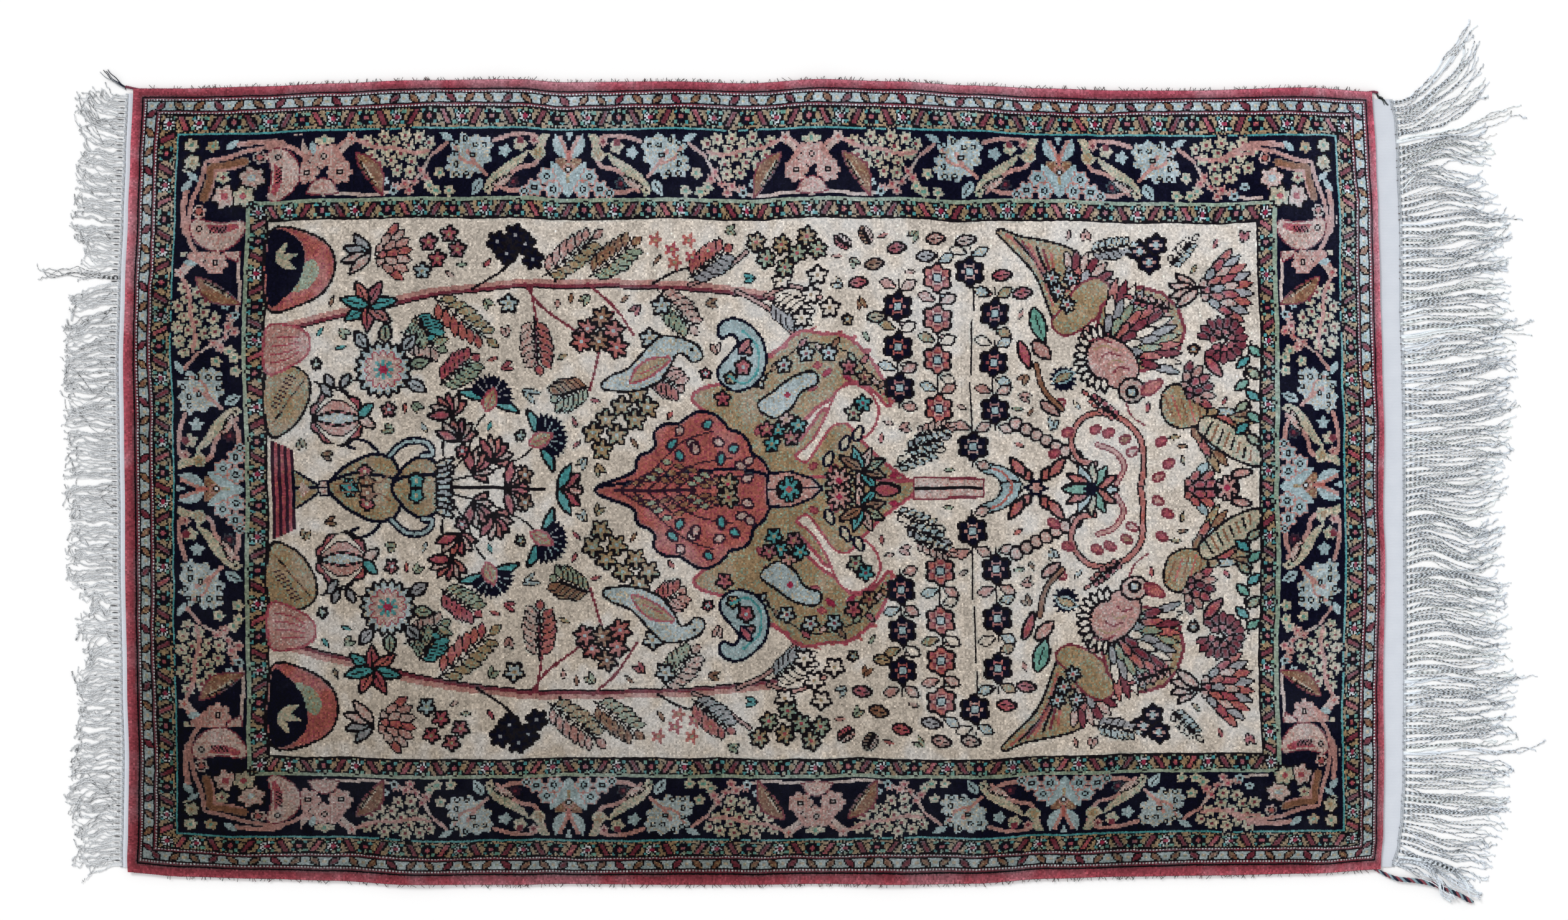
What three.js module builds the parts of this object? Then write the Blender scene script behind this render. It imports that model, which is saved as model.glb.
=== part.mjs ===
// A hand-knotted silk prayer rug that lies flat and face up.
// Its length runs along X, its width along Y, and the floor is Z = 0. Sizes are in millimetres.
import * as THREE from 'three';

// Thicknesses of the woven zones
const RUG_THICKNESS = 5.0;
const FOUNDATION_THICKNESS = 2.7;
const KILIM_THICKNESS = 1.2;
const TWINED_THICKNESS = 1.5;

// The pile's edge leans out over the foundation, and its upper corner is rounded off
const PILE_OVERHANG = 2.2;
const OVERHANG_RISE = 0.5;
const PILE_EDGE_ROUND = 1.2;
const PILE_EDGE_DROP = 0.9;

// Clearance between neighbouring zones
const GAP = 0.3;

// How finely the body is divided
const BODY_COLUMNS = 30;
const BODY_ROWS = 20;

// The overcast side bindings
const BINDING_RADIUS = 1.3;
const BINDING_SIDES = 6;
const BINDING_INSET = 0.55;
const TAIL_RADIUS = 2.1;
const TAIL_SWELL_SHARE = 0.5;
const TAIL_TWIST_PER_MM = 0.16;
const TAIL_STEPS = 16;

// The plain-woven and twined bands at the ends
const LEFT_KILIM_WIDTH = 4.8;
const TWINED_WIDTH = 2.6;
const END_SETBACK = 4.5;
const CORNER_STEPS = [0, 2.5, 6, 11, 18, 27];

// The fringe strands, which have three sides and lie on one of them
const STRAND_WIDTH = 1.7;
const STRAND_HEIGHT = 1.3;
const STRAND_TIP_SHARE = 0.6;
const STRAND_SIDES = 3;
const RISE_POWER = 1.5;
const RIGHT_STRANDS = 132;
const LEFT_STRANDS = 124;
const RIGHT_SEGMENTS = 5;
const LEFT_SEGMENTS = 4;

// Distance of the pile's long edges from the middle line, at stations along the rug
const LONG_EDGES = [
  { x: -608, upper: 386, lower: -381 },
  { x: -556, upper: 386, lower: -385 },
  { x: -483, upper: 388, lower: -387 },
  { x: -410, upper: 391, lower: -389 },
  { x: -337, upper: 394, lower: -393 },
  { x: -227, upper: 395, lower: -393 },
  { x: -190, upper: 392, lower: -392 },
  { x: -80, upper: 393, lower: -393 },
  { x: -7, upper: 391, lower: -393 },
  { x: 66, upper: 395, lower: -392 },
  { x: 139, upper: 393, lower: -393 },
  { x: 212, upper: 389, lower: -392 },
  { x: 286, upper: 386, lower: -387 },
  { x: 359, upper: 384, lower: -385 },
  { x: 432, upper: 384, lower: -384 },
  { x: 542, upper: 387, lower: -382 },
  { x: 607, upper: 383, lower: -378 },
];

// Distance of the pile's short edges from the middle, at stations across the rug
const SHORT_EDGES = [
  { y: -390, left: -613, right: 613 },
  { y: -368, left: -614, right: 614 },
  { y: -344, left: -613, right: 616 },
  { y: -271, left: -612, right: 617 },
  { y: -198, left: -614, right: 616 },
  { y: -76, left: -616, right: 618 },
  { y: -27, left: -616, right: 616 },
  { y: 46, left: -617, right: 617 },
  { y: 119, left: -618, right: 615 },
  { y: 193, left: -616, right: 613 },
  { y: 266, left: -613, right: 611 },
  { y: 315, left: -611, right: 609 },
  { y: 390, left: -608, right: 605 },
];

// Outer edge of the wide kilim end, which narrows at both corners
const KILIM_OUTER = [
  { y: -377, outer: 625 },
  { y: -352, outer: 631 },
  { y: -326, outer: 634 },
  { y: -289, outer: 636 },
  { y: -137, outer: 637 },
  { y: 46, outer: 636 },
  { y: 107, outer: 635 },
  { y: 168, outer: 633 },
  { y: 232, outer: 633 },
  { y: 320, outer: 630 },
  { y: 352, outer: 628 },
  { y: 377, outer: 623 },
];

// Low ripples that lift the cloth a little off the floor near its long edges
const RIPPLES = [
  { x: 66, y: 392, halfLength: 44, halfDepth: 110, height: 2.4 },
  { x: -255, y: 394, halfLength: 40, halfDepth: 70, height: 1.6 },
  { x: -330, y: -393, halfLength: 60, halfDepth: 70, height: 1.8 },
  { x: 130, y: -393, halfLength: 60, halfDepth: 60, height: 1.4 },
];

// Flow of the long fringe: for a strand that starts at root, how far it reaches, how far it rises
// by its tip, how far its middle bows, and how far it sways to one side and back
const RIGHT_FLOW = [
  { root: -376, reach: 58, rise: -14, bow: -1, sway: 0 },
  { root: -366, reach: 82, rise: -24, bow: -2, sway: 0 },
  { root: -350, reach: 96, rise: -24, bow: -2, sway: 0 },
  { root: -332, reach: 101, rise: -13, bow: -2, sway: 0 },
  { root: -312, reach: 104, rise: -4, bow: -3, sway: 0 },
  { root: -283, reach: 106, rise: -1, bow: 0, sway: 0 },
  { root: -246, reach: 108, rise: 4, bow: 0, sway: 0 },
  { root: -210, reach: 109, rise: 5, bow: -1, sway: 1 },
  { root: -173, reach: 106, rise: -1, bow: 2, sway: 2 },
  { root: -137, reach: 101, rise: 0, bow: 2, sway: 3 },
  { root: -100, reach: 97, rise: -3, bow: 2, sway: 4 },
  { root: -63, reach: 97, rise: 1, bow: -3, sway: 6 },
  { root: -33, reach: 97, rise: -2, bow: -4, sway: 6 },
  { root: -8, reach: 101, rise: 8, bow: 1, sway: 2 },
  { root: 22, reach: 105, rise: 6, bow: 3, sway: 1 },
  { root: 59, reach: 110, rise: 9, bow: 1, sway: 0 },
  { root: 95, reach: 109, rise: 12, bow: 0, sway: -1 },
  { root: 132, reach: 110, rise: 9, bow: 3, sway: 0 },
  { root: 168, reach: 110, rise: 3, bow: 5, sway: 1 },
  { root: 190, reach: 108, rise: 14, bow: 1, sway: -2 },
  { root: 217, reach: 108, rise: 12, bow: -1, sway: 0 },
  { root: 248, reach: 109, rise: 4, bow: 0, sway: 0 },
  { root: 272, reach: 97, rise: 6, bow: 5, sway: 1 },
  { root: 297, reach: 88, rise: 2, bow: 11, sway: 2 },
  { root: 318, reach: 94, rise: 8, bow: 10, sway: 1 },
  { root: 331, reach: 98, rise: 20, bow: 3, sway: 0 },
  { root: 343, reach: 90, rise: 31, bow: -1, sway: 0 },
  { root: 355, reach: 84, rise: 46, bow: -4, sway: 0 },
  { root: 370, reach: 66, rise: 62, bow: -5, sway: 0 },
];

// Flow of the shorter fringe, in the same terms
const LEFT_FLOW = [
  { root: -378, reach: 33, rise: -17, bow: -2, sway: 0 },
  { root: -365, reach: 52, rise: -8, bow: 0, sway: 0 },
  { root: -350, reach: 42, rise: -4, bow: 0, sway: 0 },
  { root: -334, reach: 51, rise: -8, bow: 1, sway: 0 },
  { root: -303, reach: 57, rise: -4, bow: 1, sway: 0 },
  { root: -265, reach: 53, rise: -6, bow: 0, sway: 1 },
  { root: -226, reach: 47, rise: -1, bow: 0, sway: 0 },
  { root: -187, reach: 48, rise: -5, bow: 1, sway: 0 },
  { root: -174, reach: 35, rise: -4, bow: 0, sway: 0 },
  { root: -140, reach: 47, rise: 4, bow: -1, sway: 0 },
  { root: -121, reach: 32, rise: -1, bow: 0, sway: 0 },
  { root: -92, reach: 55, rise: 1, bow: 0, sway: 0 },
  { root: -44, reach: 49, rise: 2, bow: 0, sway: 1 },
  { root: -5, reach: 57, rise: -3, bow: 1, sway: 0 },
  { root: 30, reach: 52, rise: 4, bow: 0, sway: 0 },
  { root: 70, reach: 57, rise: 0, bow: 0, sway: 1 },
  { root: 112, reach: 56, rise: -6, bow: 1, sway: 0 },
  { root: 150, reach: 55, rise: -7, bow: 0, sway: 0 },
  { root: 186, reach: 51, rise: -12, bow: -1, sway: 0 },
  { root: 206, reach: 44, rise: 2, bow: -2, sway: 0 },
  { root: 220, reach: 36, rise: 5, bow: 0, sway: 0 },
  { root: 249, reach: 53, rise: 4, bow: 0, sway: 0 },
  { root: 288, reach: 48, rise: 11, bow: -1, sway: 1 },
  { root: 322, reach: 44, rise: 8, bow: 0, sway: 0 },
  { root: 348, reach: 51, rise: 18, bow: -1, sway: 0 },
  { root: 366, reach: 50, rise: 17, bow: 0, sway: 0 },
  { root: 378, reach: 28, rise: 10, bow: 0, sway: 0 },
];

// Single strands that run on past their neighbours, each the nearest one to root
const RIGHT_STRAYS = [
  { root: 370, reach: 86, rise: 84 },
  { root: 333, reach: 124, rise: 25 },
  { root: 252, reach: 122, rise: 5 },
  { root: 143, reach: 127, rise: 6 },
  { root: -92, reach: 117, rise: -2 },
  { root: -194, reach: 131, rise: 4 },
  { root: -265, reach: 137, rise: 3 },
];
const LEFT_STRAYS = [
  { root: 202, reach: 92, rise: 5 },
];

// Route of the lower binding's loose tail, past the body's corner and along the floor
const TAIL_ROUTE = [
  { x: 607, y: -377.5 },
  { x: 616, y: -382 },
  { x: 630, y: -387.5 },
  { x: 648, y: -389.5 },
  { x: 666, y: -393 },
  { x: 684, y: -400 },
  { x: 705, y: -411 },
];

// Route of the upper binding's two short ends, past the body's corners
const UPPER_RIGHT_END = [
  { x: 607, y: 383.3 },
  { x: 612, y: 382.2 },
  { x: 618, y: 380 },
];
const UPPER_LEFT_END = [
  { x: -633, y: 398 },
  { x: -624, y: 393 },
  { x: -616, y: 388.3 },
];

// Colours of the silk and of the undyed warps
const COLOURS = {
  pile: '#a08c7c',
  warp: '#d5d8dc',
  binding: '#6d3a46',
};

// Value of a column where at falls in the key column, eased from row to row
function eased(rows, key, at, column) {
  const last = rows.length - 1;
  if (at <= rows[0][key]) return rows[0][column];
  if (at >= rows[last][key]) return rows[last][column];
  const next = rows.findIndex((row) => row[key] > at);
  const from = rows[next - 1];
  const to = rows[next];
  const share = THREE.MathUtils.smoothstep(at, from[key], to[key]);
  return THREE.MathUtils.lerp(from[column], to[column], share);
}

const upperEdge = (x) => eased(LONG_EDGES, 'x', x, 'upper');
const lowerEdge = (x) => eased(LONG_EDGES, 'x', x, 'lower');
const leftEdge = (y) => eased(SHORT_EDGES, 'y', y, 'left');
const rightEdge = (y) => eased(SHORT_EDGES, 'y', y, 'right');
const kilimOuter = (y) => eased(KILIM_OUTER, 'y', y, 'outer');

// Height that the ripples lift the cloth by at a place
function lift(x, y) {
  let height = 0;
  for (const ripple of RIPPLES) {
    const along = Math.abs(x - ripple.x) / ripple.halfLength;
    const across = Math.abs(y - ripple.y) / ripple.halfDepth;
    if (along < 1 && across < 1) {
      const crest = 0.5 + 0.5 * Math.cos(Math.PI * along);
      height += ripple.height * crest * (1 - across) * (1 - across);
    }
  }
  return height;
}

// Closed mesh geometry from a list of points and a list of triangles
function geometryOf(points, triangles) {
  const geometry = new THREE.BufferGeometry();
  geometry.setAttribute('position', new THREE.Float32BufferAttribute(points.flat(), 3));
  geometry.setIndex(triangles.flat());
  return geometry;
}

// Two triangles for the four corners of a face, named counterclockwise as seen from outside
function quad(a, b, c, d) {
  return [[a, b, c], [a, c, d]];
}

// A place on the rug's plan, at shares u along and v across, drawn in from the outline by inset
function planPoint(u, v, inset) {
  const nominalX = THREE.MathUtils.lerp(LONG_EDGES[0].x, LONG_EDGES.at(-1).x, u);
  const nominalY = THREE.MathUtils.lerp(lowerEdge(nominalX), upperEdge(nominalX), v);
  const x = THREE.MathUtils.lerp(leftEdge(nominalY) + inset, rightEdge(nominalY) - inset, u);
  const y = THREE.MathUtils.lerp(lowerEdge(nominalX) + inset, upperEdge(nominalX) - inset, v);
  return [x, y];
}

// Places of the body's grid in a ring round its rim, counterclockwise from above
function rimPlaces() {
  const rim = [];
  for (let i = 0; i < BODY_COLUMNS; i += 1) rim.push([i, 0]);
  for (let j = 0; j < BODY_ROWS; j += 1) rim.push([BODY_COLUMNS, j]);
  for (let i = BODY_COLUMNS; i > 0; i -= 1) rim.push([i, BODY_ROWS]);
  for (let j = BODY_ROWS; j > 0; j -= 1) rim.push([0, j]);
  return rim;
}

// The body: two grids joined by an edge that is undercut for the binding and rounded on top
function rugBody() {
  const points = [];
  const triangles = [];
  const across = BODY_ROWS + 1;
  const addPoint = (i, j, inset, z) => {
    const [x, y] = planPoint(i / BODY_COLUMNS, j / BODY_ROWS, inset);
    return points.push([x, y, z + lift(x, y)]) - 1;
  };
  const addGrid = (inset, z) => {
    const start = points.length;
    for (let i = 0; i <= BODY_COLUMNS; i += 1) {
      for (let j = 0; j <= BODY_ROWS; j += 1) addPoint(i, j, inset, z);
    }
    return start;
  };
  const joinRings = (low, high) => {
    low.forEach((corner, k) => {
      const next = (k + 1) % low.length;
      triangles.push(...quad(corner, low[next], high[next], high[k]));
    });
  };
  const bottom = addGrid(PILE_OVERHANG, 0);
  const top = addGrid(PILE_EDGE_ROUND, RUG_THICKNESS);
  for (let i = 0; i < BODY_COLUMNS; i += 1) {
    for (let j = 0; j < BODY_ROWS; j += 1) {
      const near = i * across + j;
      const far = near + across;
      triangles.push(...quad(top + near, top + far, top + far + 1, top + near + 1));
      triangles.push(...quad(bottom + near, bottom + near + 1, bottom + far + 1, bottom + far));
    }
  }
  const rim = rimPlaces();
  const edgeProfile = [
    { inset: PILE_OVERHANG, z: FOUNDATION_THICKNESS },
    { inset: 0, z: FOUNDATION_THICKNESS + OVERHANG_RISE },
    { inset: 0, z: RUG_THICKNESS - PILE_EDGE_DROP },
  ];
  let below = rim.map(([i, j]) => bottom + i * across + j);
  for (const { inset, z } of edgeProfile) {
    const ring = rim.map(([i, j]) => addPoint(i, j, inset, z));
    joinRings(below, ring);
    below = ring;
  }
  joinRings(below, rim.map(([i, j]) => top + i * across + j));
  return geometryOf(points, triangles);
}

// A closed roll along a route of { x, y, z, radius, turn } stations
function roll(stations) {
  const points = [];
  const triangles = [];
  stations.forEach((station, k) => {
    const before = stations[Math.max(k - 1, 0)];
    const after = stations[Math.min(k + 1, stations.length - 1)];
    const heading = Math.atan2(after.y - before.y, after.x - before.x);
    for (let side = 0; side < BINDING_SIDES; side += 1) {
      const angle = (2 * Math.PI * side) / BINDING_SIDES + station.turn;
      const sideways = station.radius * Math.cos(angle);
      points.push([
        station.x - sideways * Math.sin(heading),
        station.y + sideways * Math.cos(heading),
        station.z + station.radius * Math.sin(angle),
      ]);
    }
  });
  for (let k = 0; k < stations.length - 1; k += 1) {
    for (let side = 0; side < BINDING_SIDES; side += 1) {
      const next = (side + 1) % BINDING_SIDES;
      const near = k * BINDING_SIDES;
      const far = near + BINDING_SIDES;
      triangles.push(...quad(near + side, near + next, far + next, far + side));
    }
  }
  const lastRing = (stations.length - 1) * BINDING_SIDES;
  for (let side = 1; side < BINDING_SIDES - 1; side += 1) {
    triangles.push([0, side + 1, side]);
    triangles.push([lastRing, lastRing + side, lastRing + side + 1]);
  }
  return geometryOf(points, triangles);
}

// A station of a binding that rests on the floor, or is lifted off it by a ripple of the cloth
function restingStation({ x, y }) {
  const flatToCentre = BINDING_RADIUS * Math.cos(Math.PI / BINDING_SIDES);
  return { x, y, z: flatToCentre + lift(x, y), radius: BINDING_RADIUS, turn: 0 };
}

// Stations of a binding under the pile's overhang, along the long edge at share v across
function edgeStations(v) {
  const stations = [];
  for (let i = 1; i < BODY_COLUMNS; i += 1) {
    const [x, y] = planPoint(i / BODY_COLUMNS, v, BINDING_INSET);
    stations.push(restingStation({ x, y }));
  }
  return stations;
}

function upperBinding() {
  return roll([
    ...UPPER_LEFT_END.map(restingStation),
    ...edgeStations(1),
    ...UPPER_RIGHT_END.map(restingStation),
  ]);
}

// The lower binding runs on into its tail, a thicker twisted strand that rests on the floor
function lowerBinding() {
  const [cornerX, cornerY] = planPoint(0, 0, BINDING_INSET);
  const corner = restingStation({ x: cornerX, y: cornerY });
  const stations = [corner, ...edgeStations(0), restingStation(TAIL_ROUTE[0])];
  const route = new THREE.CatmullRomCurve3(TAIL_ROUTE.map(({ x, y }) => new THREE.Vector3(x, y, 0)));
  const length = route.getLength();
  for (let step = 2; step <= TAIL_STEPS; step += 1) {
    const share = step / TAIL_STEPS;
    const { x, y } = route.getPointAt(share);
    const swell = Math.min(1, share / TAIL_SWELL_SHARE);
    const radius = THREE.MathUtils.lerp(BINDING_RADIUS, TAIL_RADIUS, swell);
    stations.push({ x, y, z: radius, radius, turn: share * length * TAIL_TWIST_PER_MM });
  }
  return roll(stations);
}

// A flat woven band from inner(y) to outer(y) in X, with its stations at the given places in Y
function band(stations, inner, outer, thickness) {
  const points = [];
  const triangles = [];
  for (const y of stations) {
    const low = Math.min(inner(y), outer(y));
    const high = Math.max(inner(y), outer(y));
    points.push([low, y, 0], [high, y, 0], [high, y, thickness], [low, y, thickness]);
  }
  for (let k = 0; k < stations.length - 1; k += 1) {
    for (let corner = 0; corner < 4; corner += 1) {
      const next = (corner + 1) % 4;
      const near = 4 * k;
      const far = near + 4;
      triangles.push(...quad(near + next, near + corner, far + corner, far + next));
    }
  }
  const last = 4 * (stations.length - 1);
  triangles.push(...quad(0, 1, 2, 3));
  triangles.push(...quad(last + 3, last + 2, last + 1, last));
  return geometryOf(points, triangles);
}

// The foundation's short edge at share u, as straight runs between the body's rows
function foundationEdge(u) {
  const rows = [];
  for (let j = 0; j <= BODY_ROWS; j += 1) {
    const [x, y] = planPoint(u, j / BODY_ROWS, PILE_OVERHANG);
    rows.push({ x, y });
  }
  return rows;
}

const RIGHT_FOUNDATION = foundationEdge(1);
const LEFT_FOUNDATION = foundationEdge(0);

// X of a run of straight stretches at a place in Y
function straightRun(rows, y) {
  const beyond = rows.findIndex((row) => row.y > y);
  const next = beyond === -1 ? rows.length - 1 : Math.max(1, beyond);
  const share = THREE.MathUtils.inverseLerp(rows[next - 1].y, rows[next].y, y);
  return THREE.MathUtils.lerp(rows[next - 1].x, rows[next].x, share);
}

// Stations for the bands of one end: the body's rows, and closer ones where the corners curve
function endStations(end, foundation) {
  const reach = CORNER_STEPS.at(-1) + CORNER_STEPS.at(1);
  const rows = foundation.map((row) => row.y);
  const middle = rows.filter((y) => y > end.lower + reach && y < end.upper - reach);
  const low = CORNER_STEPS.map((step) => end.lower + step);
  const high = CORNER_STEPS.map((step) => end.upper - step).reverse();
  return [...low, ...middle, ...high];
}

const RIGHT_END = { lower: KILIM_OUTER[0].y + 1, upper: KILIM_OUTER.at(-1).y - 1 };
const LEFT_END = { lower: LONG_EDGES[0].lower + END_SETBACK, upper: LONG_EDGES[0].upper - END_SETBACK };
const RIGHT_STATIONS = endStations(RIGHT_END, RIGHT_FOUNDATION);
const LEFT_STATIONS = endStations(LEFT_END, LEFT_FOUNDATION);

// The ends' bands, from the pile's foundation outwards
const rightKilimInner = (y) => straightRun(RIGHT_FOUNDATION, y) + GAP;
const leftKilimInner = (y) => straightRun(LEFT_FOUNDATION, y) - GAP;
const leftKilimOuter = (y) => leftKilimInner(y) - PILE_OVERHANG - LEFT_KILIM_WIDTH;
const RIGHT_KILIM_RUN = RIGHT_STATIONS.map((y) => ({ x: kilimOuter(y), y }));
const LEFT_KILIM_RUN = LEFT_STATIONS.map((y) => ({ x: leftKilimOuter(y), y }));

// Points of one strand on the plan, from its root at the twined band out to its tip
function strandRoute(root, side) {
  const stray = side.strays.find((row) => Math.abs(row.root - root.y) <= side.pitch / 2);
  const reach = stray ? stray.reach : eased(side.flow, 'root', root.y, 'reach');
  const rise = stray ? stray.rise : eased(side.flow, 'root', root.y, 'rise');
  const bow = eased(side.flow, 'root', root.y, 'bow');
  const sway = eased(side.flow, 'root', root.y, 'sway');
  const route = [];
  for (let k = 0; k <= side.segments; k += 1) {
    const share = k / side.segments;
    const sideways = rise * share ** RISE_POWER + bow * Math.sin(Math.PI * share)
      + sway * Math.sin(2 * Math.PI * share);
    route.push({ x: root.x + side.outward * reach * share, y: root.y + sideways });
  }
  return route;
}

// Rings of a three-sided strand along its route: low-Y foot, high-Y foot and ridge, on the floor
function strandRings(points, route, outward) {
  return route.map((place, k) => {
    const before = route[Math.max(k - 1, 0)];
    const after = route[Math.min(k + 1, route.length - 1)];
    const heading = k === 0 ? 0 : Math.atan2(after.y - before.y, outward * (after.x - before.x));
    const size = THREE.MathUtils.lerp(1, STRAND_TIP_SHARE, k / (route.length - 1));
    const half = (size * STRAND_WIDTH) / 2;
    const acrossX = -outward * half * Math.sin(heading);
    const acrossY = half * Math.cos(heading);
    return [
      points.push([place.x - acrossX, place.y - acrossY, 0]) - 1,
      points.push([place.x + acrossX, place.y + acrossY, 0]) - 1,
      points.push([place.x, place.y, size * STRAND_HEIGHT]) - 1,
    ];
  });
}

// Faces of one stretch of the twined band, between two of its sections, round a strand's root ring
function twinedFaces(from, to, [foot, farFoot, ridge]) {
  return [
    ...quad(from.innerHigh, from.outerHigh, to.outerHigh, to.innerHigh),
    ...quad(from.innerLow, from.innerHigh, to.innerHigh, to.innerLow),
    [from.innerLow, foot, from.outerLow],
    [from.innerLow, farFoot, foot],
    [from.innerLow, to.innerLow, farFoot],
    [farFoot, to.innerLow, to.outerLow],
    [from.outerLow, foot, from.outerHigh],
    [foot, ridge, from.outerHigh],
    [ridge, to.outerHigh, from.outerHigh],
    [ridge, farFoot, to.outerHigh],
    [farFoot, to.outerLow, to.outerHigh],
  ];
}

// Faces of a strand between its rings, and at its tip
function strandFaces(rings) {
  const faces = [rings.at(-1)];
  for (let ring = 0; ring < rings.length - 1; ring += 1) {
    const near = rings[ring];
    const far = rings[ring + 1];
    for (let corner = 0; corner < STRAND_SIDES; corner += 1) {
      const next = (corner + 1) % STRAND_SIDES;
      faces.push(...quad(near[corner], near[next], far[next], far[corner]));
    }
  }
  return faces;
}

// A fringe: a twined band, and the strands that leave its outer face, in one closed body
function fringe(side) {
  const points = [];
  const addPoint = (x, y, z) => points.push([x, y, z]) - 1;
  const sections = [];
  for (let k = 0; k <= side.count; k += 1) {
    const y = THREE.MathUtils.lerp(side.end.lower, side.end.upper, k / side.count);
    const inner = straightRun(side.kilimRun, y) + side.outward * GAP;
    const outer = inner + side.outward * TWINED_WIDTH;
    sections.push({
      innerLow: addPoint(inner, y, 0),
      outerLow: addPoint(outer, y, 0),
      outerHigh: addPoint(outer, y, TWINED_THICKNESS),
      innerHigh: addPoint(inner, y, TWINED_THICKNESS),
    });
  }
  const first = sections[0];
  const last = sections.at(-1);
  const faces = [
    ...quad(first.innerLow, first.outerLow, first.outerHigh, first.innerHigh),
    ...quad(last.innerLow, last.innerHigh, last.outerHigh, last.outerLow),
  ];
  for (let k = 0; k < side.count; k += 1) {
    const from = sections[k];
    const to = sections[k + 1];
    const [fromX, fromY] = points[from.outerLow];
    const [toX, toY] = points[to.outerLow];
    const root = { x: (fromX + toX) / 2, y: (fromY + toY) / 2 };
    const rings = strandRings(points, strandRoute(root, side), side.outward);
    const slope = (toX - fromX) / (toY - fromY);
    for (const foot of rings[0].slice(0, 2)) {
      points[foot][0] = root.x + slope * (points[foot][1] - root.y);
    }
    faces.push(...twinedFaces(from, to, rings[0]), ...strandFaces(rings));
  }
  const outwards = side.outward > 0 ? faces : faces.map(([a, b, c]) => [a, c, b]);
  return geometryOf(points, outwards);
}

function rightFringe() {
  return fringe({
    flow: RIGHT_FLOW,
    strays: RIGHT_STRAYS,
    count: RIGHT_STRANDS,
    pitch: (RIGHT_END.upper - RIGHT_END.lower) / RIGHT_STRANDS,
    segments: RIGHT_SEGMENTS,
    end: RIGHT_END,
    kilimRun: RIGHT_KILIM_RUN,
    outward: 1,
  });
}

function leftFringe() {
  return fringe({
    flow: LEFT_FLOW,
    strays: LEFT_STRAYS,
    count: LEFT_STRANDS,
    pitch: (LEFT_END.upper - LEFT_END.lower) / LEFT_STRANDS,
    segments: LEFT_SEGMENTS,
    end: LEFT_END,
    kilimRun: LEFT_KILIM_RUN,
    outward: -1,
  });
}

function addPiece(group, name, geometry, colour, roughness) {
  const material = new THREE.MeshStandardMaterial({ color: colour, roughness, metalness: 0 });
  const piece = new THREE.Mesh(geometry, material);
  piece.name = name;
  group.add(piece);
}

const group = new THREE.Group();
addPiece(group, 'rug_body', rugBody(), COLOURS.pile, 0.6);
addPiece(
  group,
  'kilim_end_right',
  band(RIGHT_STATIONS, rightKilimInner, kilimOuter, KILIM_THICKNESS),
  COLOURS.warp,
  0.75,
);
addPiece(
  group,
  'kilim_end_left',
  band(LEFT_STATIONS, leftKilimInner, leftKilimOuter, KILIM_THICKNESS),
  COLOURS.warp,
  0.75,
);
addPiece(group, 'selvedge_upper', upperBinding(), COLOURS.binding, 0.65);
addPiece(group, 'selvedge_lower', lowerBinding(), COLOURS.binding, 0.65);
addPiece(group, 'fringe_right', rightFringe(), COLOURS.warp, 0.7);
addPiece(group, 'fringe_left', leftFringe(), COLOURS.warp, 0.7);

// The origin is the middle of the whole rug, fringes and all, on the floor
const whole = new THREE.Box3().setFromObject(group);
group.position.set(-(whole.min.x + whole.max.x) / 2, -(whole.min.y + whole.max.y) / 2, 0);
group.updateMatrixWorld(true);

export default group;
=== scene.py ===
"""A hand-knotted silk prayer rug that lies face up on a white floor, seen from straight above."""
import math

import bpy
import numpy as np
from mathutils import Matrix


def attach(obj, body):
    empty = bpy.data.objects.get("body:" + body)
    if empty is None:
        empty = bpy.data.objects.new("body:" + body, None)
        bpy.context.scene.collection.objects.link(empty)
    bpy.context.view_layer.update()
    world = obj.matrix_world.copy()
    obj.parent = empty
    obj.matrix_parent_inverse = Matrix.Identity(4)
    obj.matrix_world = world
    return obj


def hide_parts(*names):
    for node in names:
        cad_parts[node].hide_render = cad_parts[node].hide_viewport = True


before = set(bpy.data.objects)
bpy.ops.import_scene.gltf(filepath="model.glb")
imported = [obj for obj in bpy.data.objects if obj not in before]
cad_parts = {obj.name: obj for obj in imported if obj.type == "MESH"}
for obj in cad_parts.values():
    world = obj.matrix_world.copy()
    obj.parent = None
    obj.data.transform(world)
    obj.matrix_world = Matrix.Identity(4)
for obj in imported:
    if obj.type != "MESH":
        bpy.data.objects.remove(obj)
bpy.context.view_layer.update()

MM = 0.001

# Thicknesses of the woven zones, in millimetres as everywhere below
RUG_THICKNESS = 5.0
FOUNDATION_THICKNESS = 2.7
KILIM_THICKNESS = 1.2
PILE_OVERHANG = 2.2
PILE_EDGE_DROP = 0.9
PILE_EDGE_HEIGHT = 3.3
BINDING_RADIUS = 1.3
BINDING_INSET = 0.55
WRAPS_PER_MM = 0.45
PLY_RADIUS = 1.3
PLY_OFFSET = 1.25
PLY_PITCH = 12
TAIL_MIDDLE = 2.55
GAP = 0.3
LEFT_KILIM_WIDTH = 4.8

# From the middle of the outline tables to the middle of the whole rug, fringes and all
PLAN_SHIFT = np.array([-30.126, -19.440, 0.0])

# Distance of the pile's long edges from the middle line: place along the rug, upper, lower
LONG_EDGES = np.array([
    (-608, 386, -381), (-556, 386, -385), (-483, 388, -387), (-410, 391, -389),
    (-337, 394, -393), (-227, 395, -393), (-190, 392, -392), (-80, 393, -393),
    (-7, 391, -393), (66, 395, -392), (139, 393, -393), (212, 389, -392),
    (286, 386, -387), (359, 384, -385), (432, 384, -384), (542, 387, -382),
    (607, 383, -378),
], float)

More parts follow.
